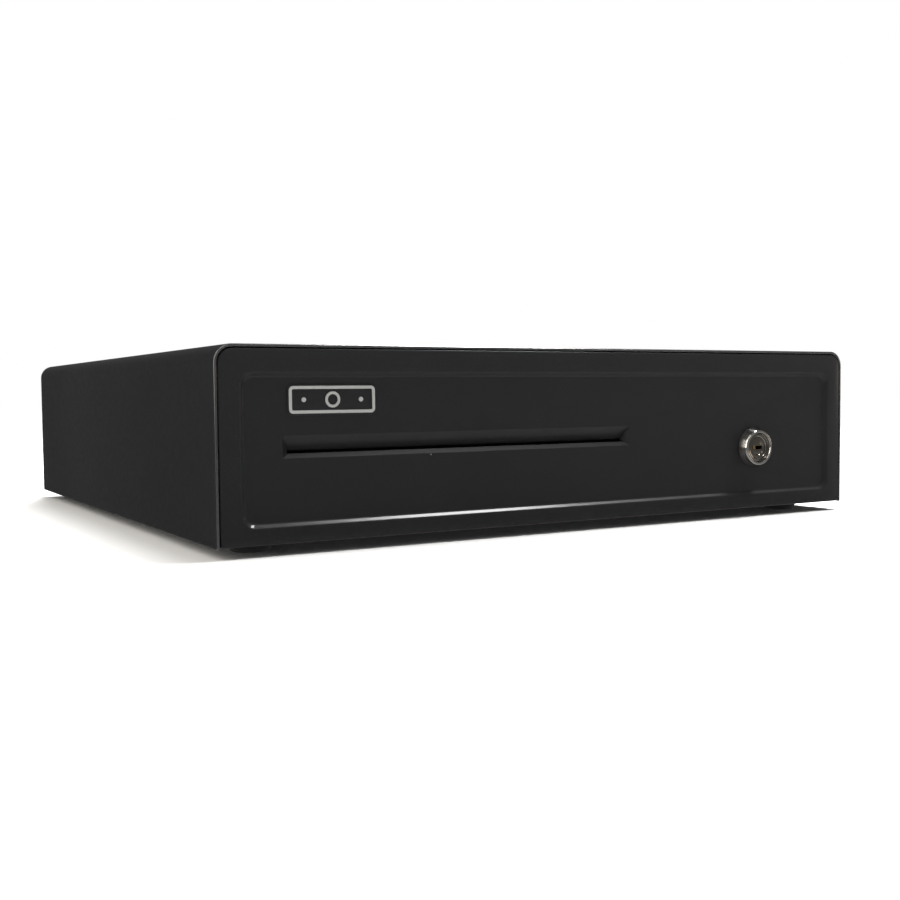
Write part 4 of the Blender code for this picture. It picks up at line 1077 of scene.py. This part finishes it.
AMBIENT = 0.19
CAMERA_PLACE = (-0.3721, -0.7109, 0.0755)
CAMERA_LENS = 45.74
CAMERA_YAW, CAMERA_PITCH, CAMERA_ROLL = 29.91, -2.78, -0.57


def soft_light(name, place, target, width, height, watts, tint=(1, 1, 1)):
    data = bpy.data.lights.new(name, "AREA")
    data.shape = "RECTANGLE"
    data.size, data.size_y = width, height
    data.energy = watts
    data.color = tint
    lamp = bpy.data.objects.new(name, data)
    bpy.context.scene.collection.objects.link(lamp)
    lamp.location = place
    lamp.rotation_euler = (Vector(target) - Vector(place)).to_track_quat("-Z", "Y").to_euler()
    return lamp


class CASHDRAWER_OT_studio(bpy.types.Operator):
    """Pale floor, white surroundings, soft lights and the camera"""

    bl_idname = "cash_drawer.studio"
    bl_label = "Studio"

    def execute(self, context):
        bpy.ops.object.select_all(action="DESELECT")
        bpy.ops.mesh.primitive_circle_add(vertices=96, radius=9.0, fill_type="NGON")
        floor = start_piece("studio_floor")
        made, tree, shader = finish("studio_floor", specular=0.1)
        base = tuple(colours().floor)
        connect(tree, shader, colour=mixed(tree, noise(tree, 2.0), base, shaded(base, 1.01)),
                roughness=ranged(tree, noise(tree, 30.0), 0.7, 0.8))
        floor.data.materials.append(made)
        floor.visible_glossy = False

        world = bpy.data.worlds.new("studio_white")
        world.use_nodes = True
        background = world.node_tree.nodes["Background"]
        background.inputs["Color"].default_value = (1.0, 1.0, 1.0, 1.0)
        tree = world.node_tree
        seen = add_node(tree, "LightPath")
        direction = add_node(tree, "SeparateXYZ")
        tree.links.new(add_node(tree, "TexCoord").outputs["Generated"], direction.inputs["Vector"])
        level = ranged(tree, direction.outputs["Z"], 0.45, AMBIENT, -0.40, -0.15)
        behind = ranged(tree, direction.outputs["Y"], 1.0, 0.40, 0.10, 0.80)
        around = add_node(tree, "Math", operation="MULTIPLY")
        tree.links.new(level, around.inputs[0])
        tree.links.new(behind, around.inputs[1])
        strength = add_node(tree, "Mix", {"B": 1.0})
        tree.links.new(seen.outputs["Is Camera Ray"], strength.inputs["Factor"])
        tree.links.new(around.outputs[0], strength.inputs["A"])
        tree.links.new(strength.outputs["Result"], background.inputs["Strength"])
        context.scene.world = world
        context.scene.view_settings.view_transform = "Standard"

        sky = bpy.data.lights.new("ceiling", "SUN")
        sky.energy = 4.9
        sky.angle = radians(24)
        ceiling = bpy.data.objects.new("ceiling", sky)
        ceiling.rotation_euler = Vector((-0.34, -0.95, -1)).to_track_quat("-Z", "Y").to_euler()
        ceiling.visible_glossy = False
        context.scene.collection.objects.link(ceiling)
        soft_light("above", (0.58, -0.06, 1.2), (0, -0.2, 0.02), 0.95, 0.26, 38)
        soft_light("front_high", (-0.30, -1.30, 1.35), (0, -0.2, 0.05), 0.9, 0.22, 2.4)
        soft_light("left_rear", (-1.4, 0.7, 0.9), (-0.2, 0.1, 0.08), 0.9, 0.6, 0.25)
        soft_light("left", (-1.3, -0.20, 0.62), (0.13, -0.2, 0.05), 0.6, 1.25, 9.0, (1.0, 0.96, 0.88))
        soft_light("left_top", (-0.70, -0.10, 1.25), (0.13, -0.2, 0.05), 0.5, 1.1, 5.0, (1.0, 0.96, 0.88))
        soft_light("right_front", (1.3, -0.62, 0.16), (0.13, -0.2, 0.05), 0.35, 0.22, 0.6, (1.0, 0.86, 0.68))

        data = bpy.data.cameras.new("camera")
        data.lens = CAMERA_LENS
        data.sensor_width = 36.0
        camera = bpy.data.objects.new("camera", data)
        context.scene.collection.objects.link(camera)
        camera.location = CAMERA_PLACE
        aim = Matrix.Rotation(-radians(CAMERA_YAW), 4, "Z") @ Matrix.Rotation(
            radians(90 + CAMERA_PITCH), 4, "X") @ Matrix.Rotation(radians(CAMERA_ROLL), 4, "Z")
        camera.rotation_euler = aim.to_euler()
        context.scene.camera = camera
        return {"FINISHED"}


# ---------------------------------------------------------------- add-on

PIECES = (
    CASHDRAWER_OT_cover,
    CASHDRAWER_OT_front_panel,
    CASHDRAWER_OT_badge,
    CASHDRAWER_OT_lock,
    CASHDRAWER_OT_sheets,
    CASHDRAWER_OT_feet,
    CASHDRAWER_OT_slides,
    CASHDRAWER_OT_till,
    CASHDRAWER_OT_latch,
    CASHDRAWER_OT_springs,
    CASHDRAWER_OT_wiring,
    CASHDRAWER_OT_studio,
)


class CASHDRAWER_PT_pieces(bpy.types.Panel):
    """Builds each group of pieces, and shows the sizes and colours that they take"""

    bl_idname = "CASHDRAWER_PT_pieces"
    bl_label = "Cash drawer"
    bl_space_type = "VIEW_3D"
    bl_region_type = "UI"
    bl_category = "Cash drawer"

    def draw(self, context):
        column = self.layout.column(align=True)
        for piece in PIECES:
            column.operator(piece.bl_idname)
        for group in (context.scene.cash_drawer_sizes, context.scene.cash_drawer_colours):
            values = self.layout.column(align=True)
            for name in group.bl_rna.properties.keys():
                if name not in ("rna_type", "name"):
                    values.prop(group, name)


CLASSES = (DrawerSizes, DrawerColours, *PIECES, CASHDRAWER_PT_pieces)


def register():
    for each in CLASSES:
        bpy.utils.register_class(each)
    bpy.types.Scene.cash_drawer_sizes = bpy.props.PointerProperty(type=DrawerSizes)
    bpy.types.Scene.cash_drawer_colours = bpy.props.PointerProperty(type=DrawerColours)


def unregister():
    del bpy.types.Scene.cash_drawer_colours
    del bpy.types.Scene.cash_drawer_sizes
    for each in reversed(CLASSES):
        bpy.utils.unregister_class(each)


def main():
    register()
    FINISHES.update(make_finishes())
    for piece in PIECES:
        group, name = piece.bl_idname.split(".")
        getattr(getattr(bpy.ops, group), name)()
    for node, obj in NODES.items():
        if not obj.hide_render:
            raise RuntimeError(f"{node} still shows its plain packed shape")


if __name__ == "__main__":
    main()
